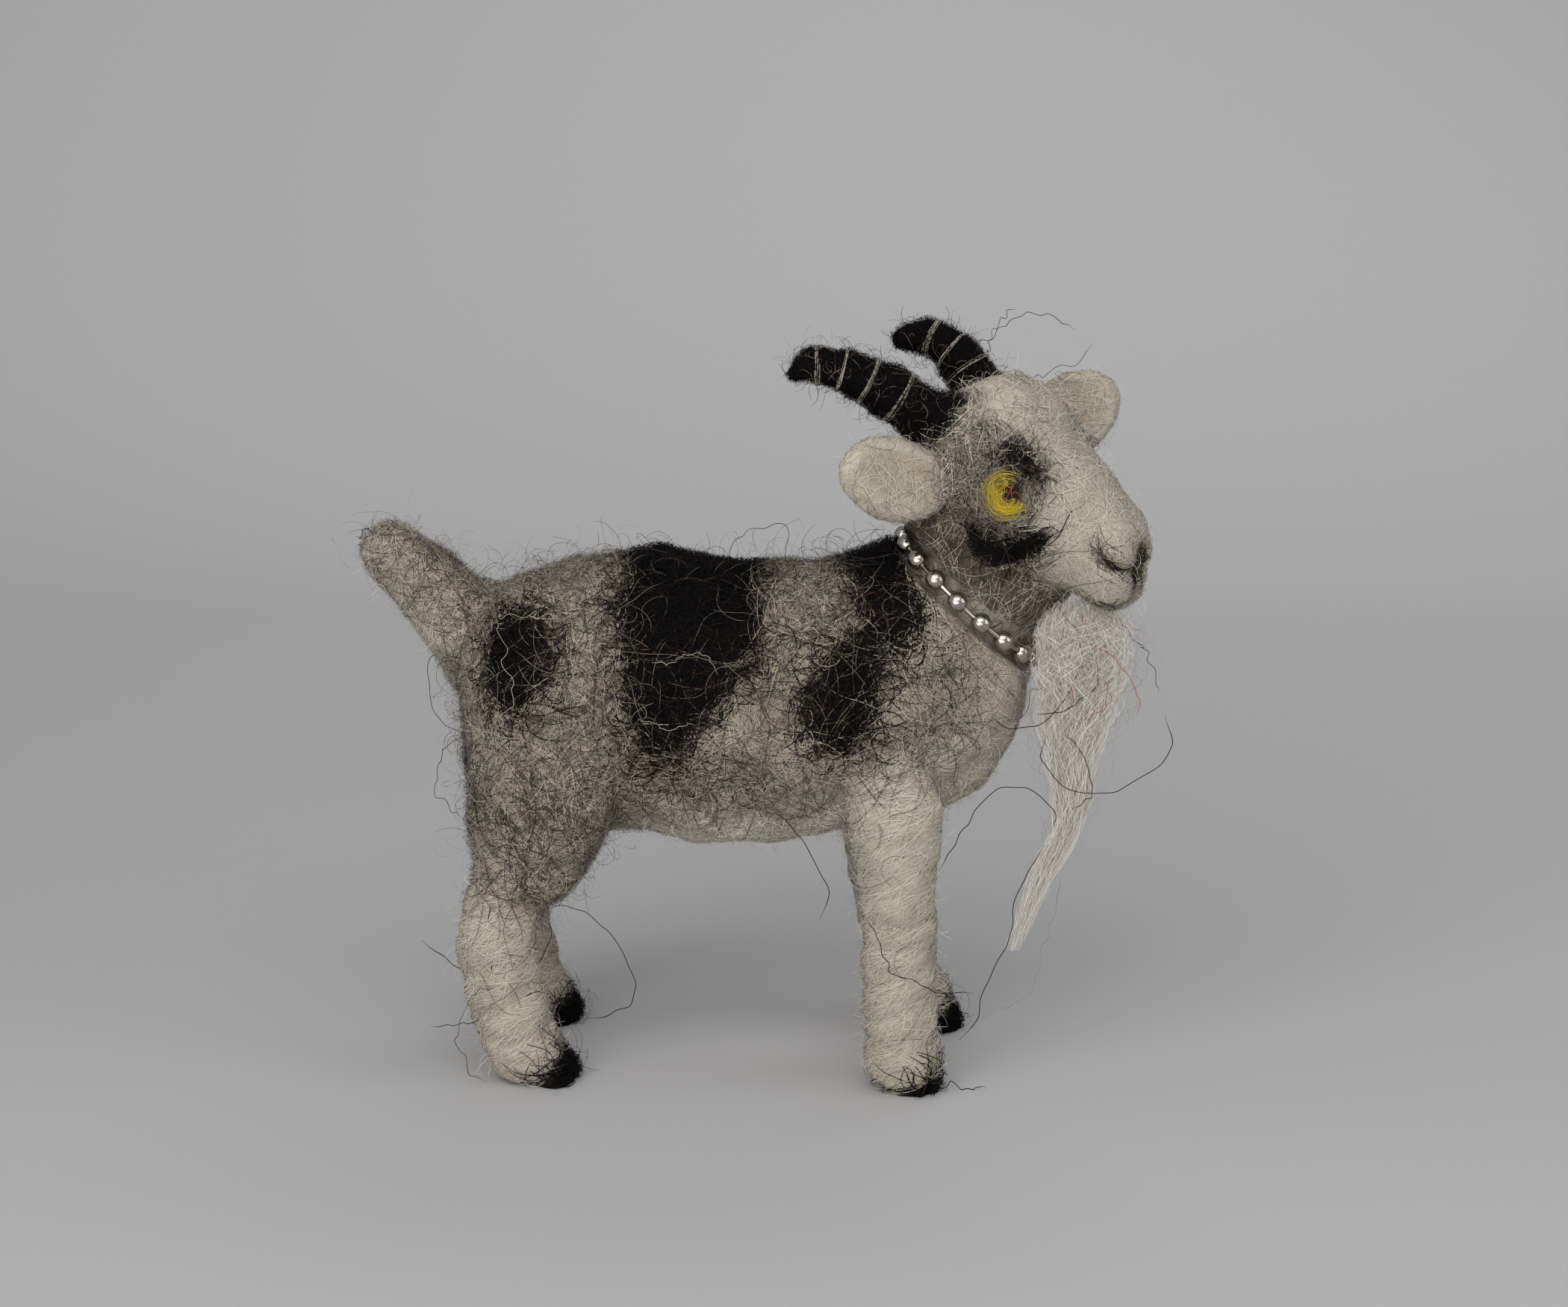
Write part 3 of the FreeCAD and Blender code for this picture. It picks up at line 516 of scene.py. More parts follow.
def leg_wraps(p, leg):
    """Slanting ridges of roving, wound round a leg."""
    side = np.sign(p[:, 1])
    turn = np.arctan2(p[:, 1] - side * LEG_OUT, p[:, 0] - LEG_MIDDLE[leg])
    phase = p[:, 2] * 0.85 + turn * 0.5 * side + 0.9 * np.sin(p[:, 2] * 0.43 + turn)
    ridge = 0.55 * (np.abs(np.sin(phase)) ** 0.6 - 0.6)
    top = 27.0 if leg == "front" else 22.0
    return ridge * np.clip((top - p[:, 2]) / 8.0, 0, 1) * np.clip((p[:, 2] - 3.0) / 3.0, 0, 1)


def ear_relief(p, normal):
    """A dish in the front of each ear, with a thick rim."""
    rise = np.zeros(len(p))
    for side, (centre, along, facing, half) in EARS.items():
        axes = axes_of(along, facing)
        x, y, z = ((p - np.array(centre)) @ axes.T).T
        near = (np.abs(x) < half[0] * 1.25) & (np.abs(y) < half[1] * 1.3) & (np.abs(z) < 2.6)
        front = np.clip((normal @ axes[2]) * 2.0, 0, 1)
        r2 = ((x + 0.4) / (half[0] * 0.58)) ** 2 + (y / (half[1] * 0.52)) ** 2
        dish = -1.0 * np.exp(-r2) * front
        rim = 0.35 * np.exp(-((np.sqrt(r2) - 1.55) ** 2) / 0.12)
        rise += np.where(near, dish + rim, 0.0)
    return rise


def horn_relief(p):
    """Rolls of wool on the horns, drawn in where thread is wound on."""
    rise = 0.22 * lumps(p, 3.2, 41)
    for side in SIDES:
        for centre, along, radius in band_places(side):
            local = p - centre
            far_off = np.linalg.norm(local, axis=1) > radius + 1.5
            rise -= np.where(far_off, 0.0, 0.6 * np.exp(-(((local @ along) / 0.42) ** 2)))
    return rise


def tail_side(p):
    """How far a point is to the upper side of the tail's middle line."""
    return (p[:, 0] + 29.0) * 0.69 + (p[:, 2] - 47.6) * 0.72


def blended_tones(owner, verts, faces, edges):
    """How much of each tone every corner has, with ragged edges where two wools are needled together."""
    share = np.zeros((len(verts), len(TONES)))
    tone = np.array([TONES.index(TONE[n]) for n in SKIN_NODES])[owner]
    for k in range(faces.shape[1]):
        np.add.at(share, (faces[:, k], tone), 1.0)
    share /= share.sum(1, keepdims=True)
    on_tail = np.zeros(len(verts), bool)
    on_tail[faces[owner == SKIN_NODES.index("tail")].ravel()] = True
    top = np.clip(0.35 + 0.30 * (tail_side(verts) + 1.2 * lumps(verts, 3.5, 55)), 0.05, 1)
    grey, cream = TONES.index("grey"), TONES.index("cream")
    share[on_tail, cream] += share[on_tail, grey] * (1 - top[on_tail])
    share[on_tail, grey] *= top[on_tail]
    black, face = TONES.index("black"), TONES.index("face")
    for names, part in ((both("brow_patch"), 0.5), (both("cheek_patch"), 0.25)):
        corners = np.unique(faces[np.isin(owner, [SKIN_NODES.index(n) for n in names])])
        share[corners, face] += share[corners, black] * part
        share[corners, black] *= 1 - part
    for side in SIDES:
        line = np.array(HORNS[side])[:, :3]
        along = (verts - line[0]) @ unit(line[1] - line[0])
        close = np.linalg.norm(verts - line[0], axis=1) < 9.0
        root = np.where(close, np.clip(HORN_ROOT[side] + 0.5 * lumps(verts, 2.0, 57) - along, 0, 1), 0.0)
        share[:, cream] += share[:, black] * root
        share[:, black] *= 1 - root
    for _ in range(22):
        share = 0.35 * share + 0.65 * neighbour_mean(share, edges, len(verts))
    ragged = [lumps(verts, 2.2, 60 + i) + 0.6 * lumps(verts, 0.9, 80 + i) for i in range(len(TONES))]
    ragged = np.stack(ragged, 1)
    power = np.where(share > 0.02, np.exp((share + 0.20 * ragged) * 5.0) - 1.0, 0.0)
    power = np.maximum(power, 0) * np.clip(share * 8, 0, 1)
    return power / np.maximum(power.sum(1, keepdims=True), 1e-6)


def build_skin():
    """The whole felted body as one smooth skin, with the node that each face belongs to."""
    verts, faces = voxel_mesh(SKIN_NODES + FILL, VOXEL)
    edges = mesh_edges(faces)
    verts = relax(verts, edges, 10, 0.55)
    normals = vertex_normals(verts, faces)
    owner = Nearest(SKIN_NODES)(verts[faces].mean(1))
    groups = {node: np.zeros(len(verts), bool) for node in SKIN_NODES}
    for i, node in enumerate(SKIN_NODES):
        groups[node][faces[owner == i].ravel()] = True

    def any_of(names):
        return np.any([groups[n] for n in names], axis=0)

    rise = 0.30 * lumps(verts, 8.5, 1) + 0.15 * lumps(verts, 3.6, 2) + 0.07 * lumps(verts, 1.6, 3)
    rise -= 0.22 * np.clip(lumps(verts, 2.2, 4) - 0.7, 0, 1)
    for leg in ("front", "hind"):
        rise += np.where(any_of(both(f"{leg}_leg")), leg_wraps(verts, leg), 0.0)
    on_head = any_of(FACE)
    h = to_head(verts)
    rise = np.where(on_head, rise * 0.6 + head_relief(h), rise)
    on_ear = any_of(both("ear", "ear_lining"))
    rise = np.where(on_ear, rise * 0.5 + ear_relief(verts, normals), rise)
    rise = np.where(any_of(both("horn")), horn_relief(verts), rise)
    hoof = any_of(HOOVES)
    rise = np.where(hoof, rise * 1.2 + 0.14 * lumps(verts, 1.3, 5), rise)
    rise = 0.5 * rise + 0.5 * neighbour_mean(rise[:, None], edges, len(verts))[:, 0]
    rise *= np.clip((ring_gap(verts) - 1.5) / 1.5, 0, 1)
    moved = np.where(on_head[:, None], from_head(pull_muzzle(h)), verts)
    verts = relax(moved + normals * rise[:, None], edges, 1, 0.4)
    low = verts[:, 2] < 0.35
    verts[low, 2] = np.where(hoof[low], np.maximum(verts[low, 2] * 0.4, 0.02), 0.35)
    return verts, faces, owner, blended_tones(owner, verts, faces, edges)


skin_v, skin_f, skin_owner, skin_tone = build_skin()
skin_n = vertex_normals(skin_v, skin_f)


def paint(verts, tones):
    """The mat's colour at each corner: its blended tone, with slow random changes of tone, and painted light
    that brightens the cream under the belly.
    """
    base = tones @ np.array([WOOL[t][1] for t in TONES])
    slow = 1.0 + 0.13 * lumps(verts, 11.0, 71) + 0.07 * lumps(verts, 4.5, 72)
    grey = tones[:, TONES.index("grey")]
    pale = np.clip(0.5 + 0.75 * lumps(verts, 7.5, 73), 0, 1) * grey
    cream = tones[:, TONES.index("cream")]
    y, z = verts[:, 1], verts[:, 2]
    # Painted light: the cream under the belly is made up to 1.9 times brighter, standing in for light that
    # the lamps don't bring to the underside.
    belly_painted_light = cream * np.clip((37.0 - z) / 5.0, 0, 1) * (np.abs(y) < 16) * np.clip((z - 22.0) / 4.0, 0, 1)
    patchy = 1.0 + 0.10 * cream * lumps(verts, 3.0, 74)
    base = base * ((1 + 0.5 * pale) * slow * patchy * (1 + 0.9 * belly_painted_light))[:, None]
    return np.clip(base, 0.003, 0.9)


def set_colour(obj, colour):
    """Stores the mat's colour where felt() reads it."""
    attribute = obj.data.attributes.new("wool", "FLOAT_COLOR", "POINT")
    attribute.data.foreach_set("color", np.c_[colour, np.ones(len(colour))].astype(np.float32).ravel())


skin_colour = paint(skin_v, skin_tone)
for i, node in enumerate(SKIN_NODES):
    mine = skin_f[skin_owner == i]
    if not len(mine):
        continue
    used, local = np.unique(mine, return_inverse=True)
    quads = local.reshape(mine.shape)
    piece = make_object(f"{node}_felt", skin_v[used], quads, FELT[TONE[node]], skin_n[used])
    set_colour(piece, skin_colour[used])
    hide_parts(node)
    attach(piece, "goat")


# ---------------------------------------------------------------- lines and tubes


def smooth_path(points, count):
    """An even Catmull-Rom line through points; each row may carry more numbers after its place."""
    p = np.asarray(points, float)
    p = np.vstack([2 * p[0] - p[1], p, 2 * p[-1] - p[-2]])
    t = np.linspace(0, 1, 24, endpoint=False)[:, None]
    out = []
    for i in range(1, len(p) - 2):
        a, b, c, d = p[i - 1 : i + 3]
        square, cube = 2 * a - 5 * b + 4 * c - d, 3 * b - a - 3 * c + d
        out.append(0.5 * (2 * b + (c - a) * t + square * t**2 + cube * t**3))
    out = np.vstack([*out, p[-2:-1]])
    along = np.concatenate([[0], np.cumsum(np.linalg.norm(np.diff(out[:, :3], axis=0), axis=1))])
    at = np.linspace(0, along[-1], count)
    return np.stack([np.interp(at, along, out[:, k]) for k in range(out.shape[1])], 1)


def path_frames(path):
    """Two steady side directions along a line."""
    tangent = unit(np.gradient(path, axis=0))
    side = np.empty_like(path)
    side[0] = unit(np.cross(tangent[0], [0.3, 1.0, 0.2]))
    for i in range(1, len(path)):
        s = side[i - 1] - tangent[i] * (side[i - 1] @ tangent[i])
        side[i] = s / np.linalg.norm(s)
    return side, np.cross(tangent, side)


def grid_faces(rows, columns):
    """Quads of a closed band of rows and columns of corners."""
    i = np.arange(rows - 1)[:, None] * columns
    j = np.arange(columns)[None, :]
    k = (j + 1) % columns
    return np.stack([i + j, i + k, i + columns + k, i + columns + j], -1).reshape(-1, 4)


def tube_mesh(path, radius, sides):
    """A round tube with open ends; radius is one number per point of the path."""
    a, b = path_frames(path)
    turn = np.linspace(0, 2 * math.pi, sides, endpoint=False)
    ring = a[:, None] * np.cos(turn)[None, :, None] + b[:, None] * np.sin(turn)[None, :, None]
    verts = (path[:, None] + ring * np.asarray(radius)[:, None, None]).reshape(-1, 3)
    return verts, grid_faces(len(path), sides)


# ---------------------------------------------------------------- collar


def ball_mesh(rings, sides):
    """A unit ball of quads, with a pinhole at each pole."""
    lat = np.linspace(-math.pi / 2 + 0.004, math.pi / 2 - 0.004, rings)
    lon = np.linspace(0, 2 * math.pi, sides, endpoint=False)
    x = np.cos(lat)[:, None] * np.cos(lon)[None]
    y = np.cos(lat)[:, None] * np.sin(lon)[None]
    z = np.repeat(np.sin(lat)[:, None], sides, 1)
    return np.stack([x, y, z], -1).reshape(-1, 3), grid_faces(rings, sides)


def build_collar():
    """Balls with flat mouths and a seam, and the pins between them. The clasp is the CAD's own."""
    spots = []
    for i in range(COLLAR_BALLS):
        a = math.radians(90 + 360 / COLLAR_BALLS * (i + 0.5))
        spots.append(RING_AT + RING_R * (math.cos(a) * NECK[0] + math.sin(a) * NECK[1]))
    spots = np.array(spots)
    unit_v, unit_f = ball_mesh(40, 56)
    balls = []
    for i, spot in enumerate(spots):
        ahead = unit(spots[(i + 1) % COLLAR_BALLS] - spots[i - 1])
        out = unit(spot - RING_AT)
        axes = np.array([out, np.cross(ahead, out), ahead])
        local = unit_v * BALL_RADIUS
        mouth = np.abs(unit_v[:, 2]) > MOUTH_SHARE
        local[mouth, 2] = np.sign(local[mouth, 2]) * BALL_RADIUS * MOUTH_SHARE
        seam = np.abs(unit_v[:, 1]) < 0.03
        local[seam] *= 0.99
        balls.append((local @ axes + spot, unit_f))
    pins = []
    for a, b in zip(spots[:-1], spots[1:]):
        path = a + np.linspace(0.22, 0.78, 9)[:, None] * (b - a)
        flare = 0.05 * np.abs(np.linspace(-1, 1, 9)) ** 3
        pins.append(tube_mesh(path, PIN_RADIUS + flare, 20))
    for name, parts in (("collar_balls", balls), ("collar_links", pins)):
        piece = make_object(f"{name}_plated", *joined(parts), METAL)
        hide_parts(name)
        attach(piece, "collar")


def give_material(node, material):
    """A CAD node that shows as it is, with a better material."""
    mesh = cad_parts[node].data
    mesh.materials.clear()
    mesh.materials.append(material)


build_collar()
give_material("collar_clasp", METAL)
for wire in WIRES:
    give_material(wire, WIRE)


# ---------------------------------------------------------------- distance field for the strands


class Field:
    """Signed distance to the wool, on a grid, with its slope."""

    def __init__(self, verts, faces, step=0.75, reach=4.2):
        tris = np.concatenate([faces[:, :3], faces[:, [0, 2, 3]]])
        tree = BVHTree.FromPolygons(verts.tolist(), tris.tolist())
        self.step = step
        self.low = verts.min(0) - reach - 2 * step
        shape = np.ceil((verts.max(0) + reach + 2 * step - self.low) / step).astype(int) + 1
        close = np.zeros(shape, bool)
        close[tuple(np.round((verts - self.low) / step).astype(int).T)] = True
        for _ in range(int(reach / step) + 1):
            grown = close.copy()
            for axis in range(3):
                grown |= np.roll(close, 1, axis) | np.roll(close, -1, axis)
            close = grown
        points = np.argwhere(close) * step + self.low
        dist = np.full(shape, reach)
        values = np.empty(len(points))
        find = tree.find_nearest
        for i, p in enumerate(points.tolist()):
            spot, normal, _, far = find(p)
            out = sum((a - b) * c for a, b, c in zip(p, spot, normal))
            values[i] = -far if out < 0 else far
        dist[close] = values
        self.grid = np.stack([dist, *np.gradient(dist, step)], -1)

    def __call__(self, p):
        """Distance and outward direction at points."""
        at = (p - self.low) / self.step
        base = np.clip(np.floor(at).astype(int), 0, np.array(self.grid.shape[:3]) - 2)
        t = np.clip(at - base, 0, 1)
        out = 0.0
        for corner in range(8):
            bit = np.array([corner & 1, corner >> 1 & 1, corner >> 2 & 1])
            weight = np.prod(np.where(bit, t, 1 - t), axis=1)
            out = out + self.grid[tuple((base + bit).T)] * weight[:, None]
        return out[:, 0], unit(out[:, 1:])


field = Field(skin_v, skin_f)


def on_skin(p, height):
    """Points moved to a height over the wool."""
    for _ in range(3):
        dist, normal = field(p)
        p = p + normal * (height - dist)[:, None]
    return p


def lifted(paths, level):
    """Strands moved to a level over the wool, and the way up at each of their points."""
    flat = on_skin(paths.reshape(-1, 3), level)
    return flat.reshape(paths.shape), field(flat)[1].reshape(paths.shape)


# ---------------------------------------------------------------- strands


corner = skin_v[skin_f]
face_area = np.linalg.norm(np.cross(corner[:, 2] - corner[:, 0], corner[:, 3] - corner[:, 1]), axis=1) / 2
face_mid = corner.mean(1)
face_tone = skin_tone[skin_f].mean(1)


class Share:
    """How much of one tone the wool has near a point, looked up on a grid."""

    def __init__(self, tone, step=0.8):
        self.step, self.low = step, skin_v.min(0) - 6
        shape = np.ceil((skin_v.max(0) + 6 - self.low) / step).astype(int) + 1
        at = tuple(((skin_v - self.low) / step).astype(int).T)
        total, count = np.zeros(shape), np.zeros(shape)
        np.add.at(total, at, skin_tone[:, TONES.index(tone)])
        np.add.at(count, at, 1.0)
        for _ in range(4):
            for grid in (total, count):
                for axis in range(3):
                    grid += 0.5 * (np.roll(grid, 1, axis) + np.roll(grid, -1, axis))
        self.share = total / np.maximum(count, 1e-9)

    def __call__(self, p):
        at = np.clip(((p - self.low) / self.step).astype(int), 0, np.array(self.share.shape) - 1)
        return self.share[tuple(np.moveaxis(at, -1, 0))]


black_share = Share("black")


def scatter(density, r):
    """Roots over the skin; density is how many stand on a square millimetre of each face."""
    want = face_area * density
    pick = r.choice(len(want), int(want.sum()), p=want / want.sum())
    s, t = r.random((2, len(pick), 1))
    c = corner[pick]
    return (c[:, 0] * (1 - s) + c[:, 1] * s) * (1 - t) + (c[:, 3] * (1 - s) + c[:, 2] * s) * t


def thickness(tones, where):
    """Roots on a square millimetre of each face, from a number for each tone times a share."""
    return sum(face_tone[:, TONES.index(tone)] * per_mm2 for tone, per_mm2 in tones.items()) * where


def only(names):
    """1 on the faces of these nodes and 0 elsewhere."""
    return np.isin(skin_owner, [SKIN_NODES.index(n) for n in names]).astype(float)


def grow(start, heading, steps, stride, curl, wander, peak, r):
    """Lays strands along the surface. Curl is the turn per step and peak the height half way."""
    p = start.copy()
    _, normal = field(p)
    go = unit(heading - normal * (heading * normal).sum(1, keepdims=True))
    turn = r.normal(0, 1, len(p)) * curl
    path, up = [], []
    for k in range(steps + 1):
        path.append(p.copy())
        up.append(normal)
        turn = turn * 0.9 + r.normal(0, 1, len(p)) * wander
        side = np.cross(normal, go)
        go = unit(go * np.cos(turn)[:, None] + side * np.sin(turn)[:, None])
        p = p + go * stride[:, None]
        dist, normal = field(p)
        height = 0.02 + peak * math.sin((k + 1) / steps * math.pi)
        p = p + normal * (height - dist)[:, None]
        go = unit(go - normal * (go * normal).sum(1, keepdims=True))
    return np.stack(path, 1), np.stack(up, 1)


def ribbons(path, up, width):
    """Thin flat strips along the strands."""
    n, k, _ = path.shape
    side = unit(np.cross(unit(np.gradient(path, axis=1)), up))
    taper = np.sin(np.linspace(0.12, 0.88, k) * math.pi)[None, :, None] ** 0.5
    half = side * taper * np.asarray(width).reshape(-1, 1, 1) * 0.5
    verts = np.stack([path - half, path + half], 2).reshape(-1, 3)
    base = (np.arange(n)[:, None] * k + np.arange(k - 1)[None]).reshape(-1) * 2
    return verts, np.stack([base, base + 1, base + 3, base + 2], 1)


# Least and greatest widths of strands.
FINE, THIN, CURLY = (0.030, 0.052), (0.045, 0.080), (0.038, 0.062)
MAT, COARSE, DENSE = (0.05, 0.10), (0.06, 0.12), (0.05, 0.09)
PIECE_FACES = 95000  # quads per piece, under the export's 200,000 triangles
COLLAR_ROOM = 1.36  # how near the ring of balls wool may come


# How near an eye's middle strands may come: on the face, in other coats, and loose ends.
EYE_GAP = {"face": 2.1, "coat": 2.5, "loose": 2.6}


def allowed(path, eye_gap):
    """Which strands stay: none in the collar's room, in the floor or over an eye."""
    keep = (ring_gap(path).min(1) > COLLAR_ROOM) & (path[..., 2].min(1) > 0.05)
    for eye in EYES.values():
        keep &= np.linalg.norm(path - eye, axis=2).min(1) > eye_gap
    return keep


def add_strands(name, path, up, width, tone, body="goat"):
    """Strands of one tone, in objects small enough to be exported whole."""
    if not len(path):
        return
    most = PIECE_FACES // (path.shape[1] - 1)
    for i in range(0, len(path), most):
        verts, faces = ribbons(path[i : i + most], up[i : i + most], width[i : i + most])
        piece = make_object(name if i == 0 else f"{name}_{i // most + 1}", verts, faces, STRAND[tone])
        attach(piece, body)


def coat_layer(name, density, tone, length, width, curl, wander, lift, seed, steps, heading=None):
    """Strands of one tone, felted over the skin. Length and width in mm are drawn between two ends,
    and lift is the height in the middle of each strand."""
    r = np.random.default_rng(seed)
    points = scatter(density, r)
    n = len(points)
    way = r.normal(size=(n, 3)) if heading is None else heading(points, r)
    peak = r.uniform(*lift, n)
    stride = r.uniform(*length, n) / steps
    path, up = grow(points, way, steps, stride, curl, wander, peak, r)
    keep = allowed(path, EYE_GAP["face" if name.startswith("face") else "coat"])
    if name.startswith(("hoof", "horn")):
        keep &= black_share(path[:, -1]) > 0.4
    if tone not in ("black", "dark", "rust", "mid"):
        inside = np.maximum(black_share(path[:, steps // 2]), black_share(path[:, -1]))
        keep &= r.random(n) > inside * 1.25 - 0.2
    add_strands(name, path[keep], up[keep], r.uniform(*width, n)[keep], tone)


def fuzz_layer(name, density, tone, length, seed, curl, steps):
    """Loose ends that stand off the surface and curl; curl is the most that they turn per step."""
    r = np.random.default_rng(seed)
    p = scatter(density, r)
    n = len(p)
    _, normal = field(p)
    go = unit(normal * r.uniform(0.2, 0.9, (n, 1)) + 0.8 * r.normal(size=(n, 3)))
    axis = unit(np.cross(go, r.normal(size=(n, 3))) + 0.25 * go)
    turn = (r.uniform(0.3, 1.0, (n, 1)) * curl) * np.sign(r.normal(size=(n, 1)))
    stride = (r.uniform(*length, n) / steps)[:, None]
    path = [p.copy()]
    for _ in range(steps):
        go = unit(go * np.cos(turn) + np.cross(axis, go) * np.sin(turn) + r.normal(0, 0.08, (n, 3)))
        p = p + go * stride
        dist, normal = field(p)
        p = p + normal * np.clip(0.05 - dist, 0, 1)[:, None]
        path.append(p.copy())
    path = np.stack(path, 1)
    keep = allowed(path, EYE_GAP["loose"])
    up = np.broadcast_to(unit(r.normal(size=(n, 1, 3))), path.shape)
    add_strands(name, path[keep], up[keep], r.uniform(*FINE, n)[keep], tone)


def round_leg(points, r):
    """Strand direction that follows the slanting wraps of a leg."""
    side = np.sign(points[:, 1])
    middle = np.where(points[:, 0] > 0, LEG_MIDDLE["front"], LEG_MIDDLE["hind"])
    out = np.stack([points[:, 0] - middle, points[:, 1] - side * LEG_OUT, np.zeros(len(points))], 1)
    return np.cross(unit(out), [0, 0, 1.0]) * side[:, None] + [0, 0, 0.5] + r.normal(0, 0.25, points.shape)


# Where on the skin each layer of strands grows: one number for each face.
clump = np.clip(0.85 + 1.0 * lumps(face_mid, 8.0, 91), 0.15, 2.2)
edge_low = 1.0 + 1.6 * np.exp(-(((face_mid[:, 2] - 37.5) / 3.5) ** 2)) * only(["grey_coat", "torso"])
on_face = only(FACE)
off_face = 1.0 - on_face
leg_only = only(LEGS)
horn_only = only(both("horn"))
ear_only = only(both("ear", "ear_lining"))
hoof_only = only(HOOVES)
body_black = 1.0 - horn_only
face_place = to_head(face_mid)
forward, up_head = (face_place[:, 0] - 3.0) / 4.0, (face_place[:, 2] - 8.0) / 3.0
forehead = on_face * np.exp(-(forward**2) - up_head**2)
ear_middle = np.where(face_mid[:, 1] < 0, 70.0, 73.0)
ear_low = ear_only * np.clip(0.5 - (face_mid[:, 2] - ear_middle) * 0.4, 0, 1)
on_brow = only(MARKS)
patch_only = body_black * off_face * (1 - hoof_only)
# Painted light on the belly: white strands are added under the torso and the darker shade strands kept off
# it, brightening the underside that the lamps leave dim.
belly = only(["torso"]) * np.clip((34.0 - face_mid[:, 2]) / 4.0, 0, 1)

# name, density for each tone, share for single nodes, tone, length, width, curl, wander, lift, seed, steps
LAYERS = [
    ("coat_pale_strands", {"grey": 2.2}, 2.0 - np.clip(clump, 0, 1.6),
     "pale", (4, 9), THIN, 0.3, 0.12, (0, 0.4), 101, 7),
    ("coat_ash_strands", {"grey": 1.6, "mantle": 0.35}, 1.0,
     "ash", (5, 11), THIN, 0.32, 0.12, (0, 0.6), 102, 9),
    ("coat_cream_strands", {"grey": 1.7}, 1.0,
     "cream", (5, 11), THIN, 0.32, 0.12, (0.1, 0.6), 100, 9),
    ("coat_mid_curls", {"grey": 0.75}, clump,
     "mid", (7, 15), CURLY, 0.35, 0.10, (0.1, 0.8), 125, 13),
    ("coat_dark_curls", {"grey": 0.60}, clump * edge_low,
     "dark", (7, 16), CURLY, 0.36, 0.10, (0.2, 1.0), 103, 14),
    ("coat_brown_curls", {"grey": 0.70, "mantle": 1.2}, clump,
     "brown", (7, 15), CURLY, 0.36, 0.10, (0.2, 0.9), 104, 13),
    ("patch_black_strands", {"black": 6.0}, body_black * (1 - 0.6 * on_brow),
     "black", (3, 7), (0.07, 0.12), 0.3, 0.15, (0.2, 0.8), 105, 7),
    ("patch_rust_strands", {"black": 0.30}, patch_only,
     "rust", (4, 9), FINE, 0.35, 0.12, (0.4, 0.8), 106, 9),
    ("patch_brown_strands", {"black": 0.5}, patch_only,
     "brown", (4, 8), FINE, 0.45, 0.12, (0.4, 0.9), 126, 9),
    ("patch_mid_strands", {"black": 0.07}, patch_only,
     "mid", (5, 9), FINE, 0.45, 0.10, (0.5, 0.9), 107, 10),
    ("cream_strands", {"cream": 1.7, "lining": 1.0}, 1 - leg_only,
     "cream", (3, 7), MAT, 0.2, 0.1, (0, 0.25), 108, 7),
    ("ivory_strands", {"cream": 2.0, "lining": 0.6}, 1 - leg_only,
     "ivory", (3, 7), MAT, 0.2, 0.1, (0, 0.3), 109, 7),
    # painted light: white strands that brighten the underside of the belly
    ("belly_white_strands", {"cream": 3.5}, belly,
     "white", (3, 7), MAT, 0.2, 0.1, (0, 0.3), 128, 7),
    # kept off the belly, as part of its painted light
    ("shade_strands", {"cream": 0.4, "lining": 1.0}, 1 - belly,
     "shade", (2, 6), FINE, 0.3, 0.12, (0, 0.3), 110, 7),
    ("coat_rust_hairs", {"grey": 0.05, "cream": 0.02}, 1 - leg_only,
     "rust", (5, 10), FINE, 0.3, 0.1, (0.3, 0.8), 129, 10),
    ("belly_dark_hairs", {"cream": 0.05}, off_face * (1 - ear_only),
     "brown", (4, 10), FINE, 0.35, 0.15, (0.1, 0.8), 114, 9),
    ("forehead_hairs", {"cream": 0.9}, forehead,
     "mid", (2, 6), FINE, 0.5, 0.2, (0.05, 0.5), 122, 8),
    ("face_dark_strands", {"face": 3.2}, 1.0,
     "dark", (2, 5), FINE, 0.5, 0.18, (0.05, 0.5), 115, 8),
    ("face_ash_strands", {"face": 4.2}, 1.0,
     "ash", (2, 5), FINE, 0.45, 0.18, (0.05, 0.5), 116, 8),
    ("face_mid_strands", {"face": 3.0, "mantle": 0.7}, 1.0,
     "mid", (2, 6), THIN, 0.4, 0.15, (0.05, 0.4), 117, 8),
    ("face_black_strands", {"black": 3.0}, on_face,
     "black", (1.5, 3), THIN, 0.5, 0.2, (0.05, 0.3), 118, 7),
    ("brow_ash_strands", {"black": 2.2}, on_brow,
     "mid", (2, 4), FINE, 0.5, 0.2, (0.2, 0.5), 127, 8),
    ("horn_black_strands", {"black": 6.0}, horn_only,
     "black", (2, 6), DENSE, 0.35, 0.15, (0.05, 0.6), 119, 7),
    ("horn_mid_strands", {"black": 0.4}, horn_only,
     "mid", (2, 5), FINE, 0.5, 0.2, (0.2, 0.6), 120, 8),
    ("hoof_black_strands", {"black": 8.0}, hoof_only,
     "black", (1.5, 3.5), DENSE, 0.6, 0.25, (0.1, 0.7), 121, 8),
    ("ear_grey_hairs", {"cream": 1.3}, ear_low,
     "mid", (2, 6), FINE, 0.5, 0.2, (0.1, 0.7), 123, 8),
]
for name, tones, where, *look in LAYERS:
    coat_layer(name, thickness(tones, where), *look)
for name, per_mm2, tone, length, width, lift, seed in [
    ("leg_cream_strands", 2.2, "cream", (4, 9), COARSE, (0, 0.25), 111),
    ("leg_ivory_strands", 2.2, "ivory", (4, 9), COARSE, (0, 0.3), 112),
    ("leg_shade_strands", 0.8, "shade", (3, 8), FINE, (0, 0.2), 113),
]:
    density = thickness({"cream": per_mm2}, leg_only)
    coat_layer(name, density, tone, length, width, 0.05, 0.05, lift, seed, 7, round_leg)

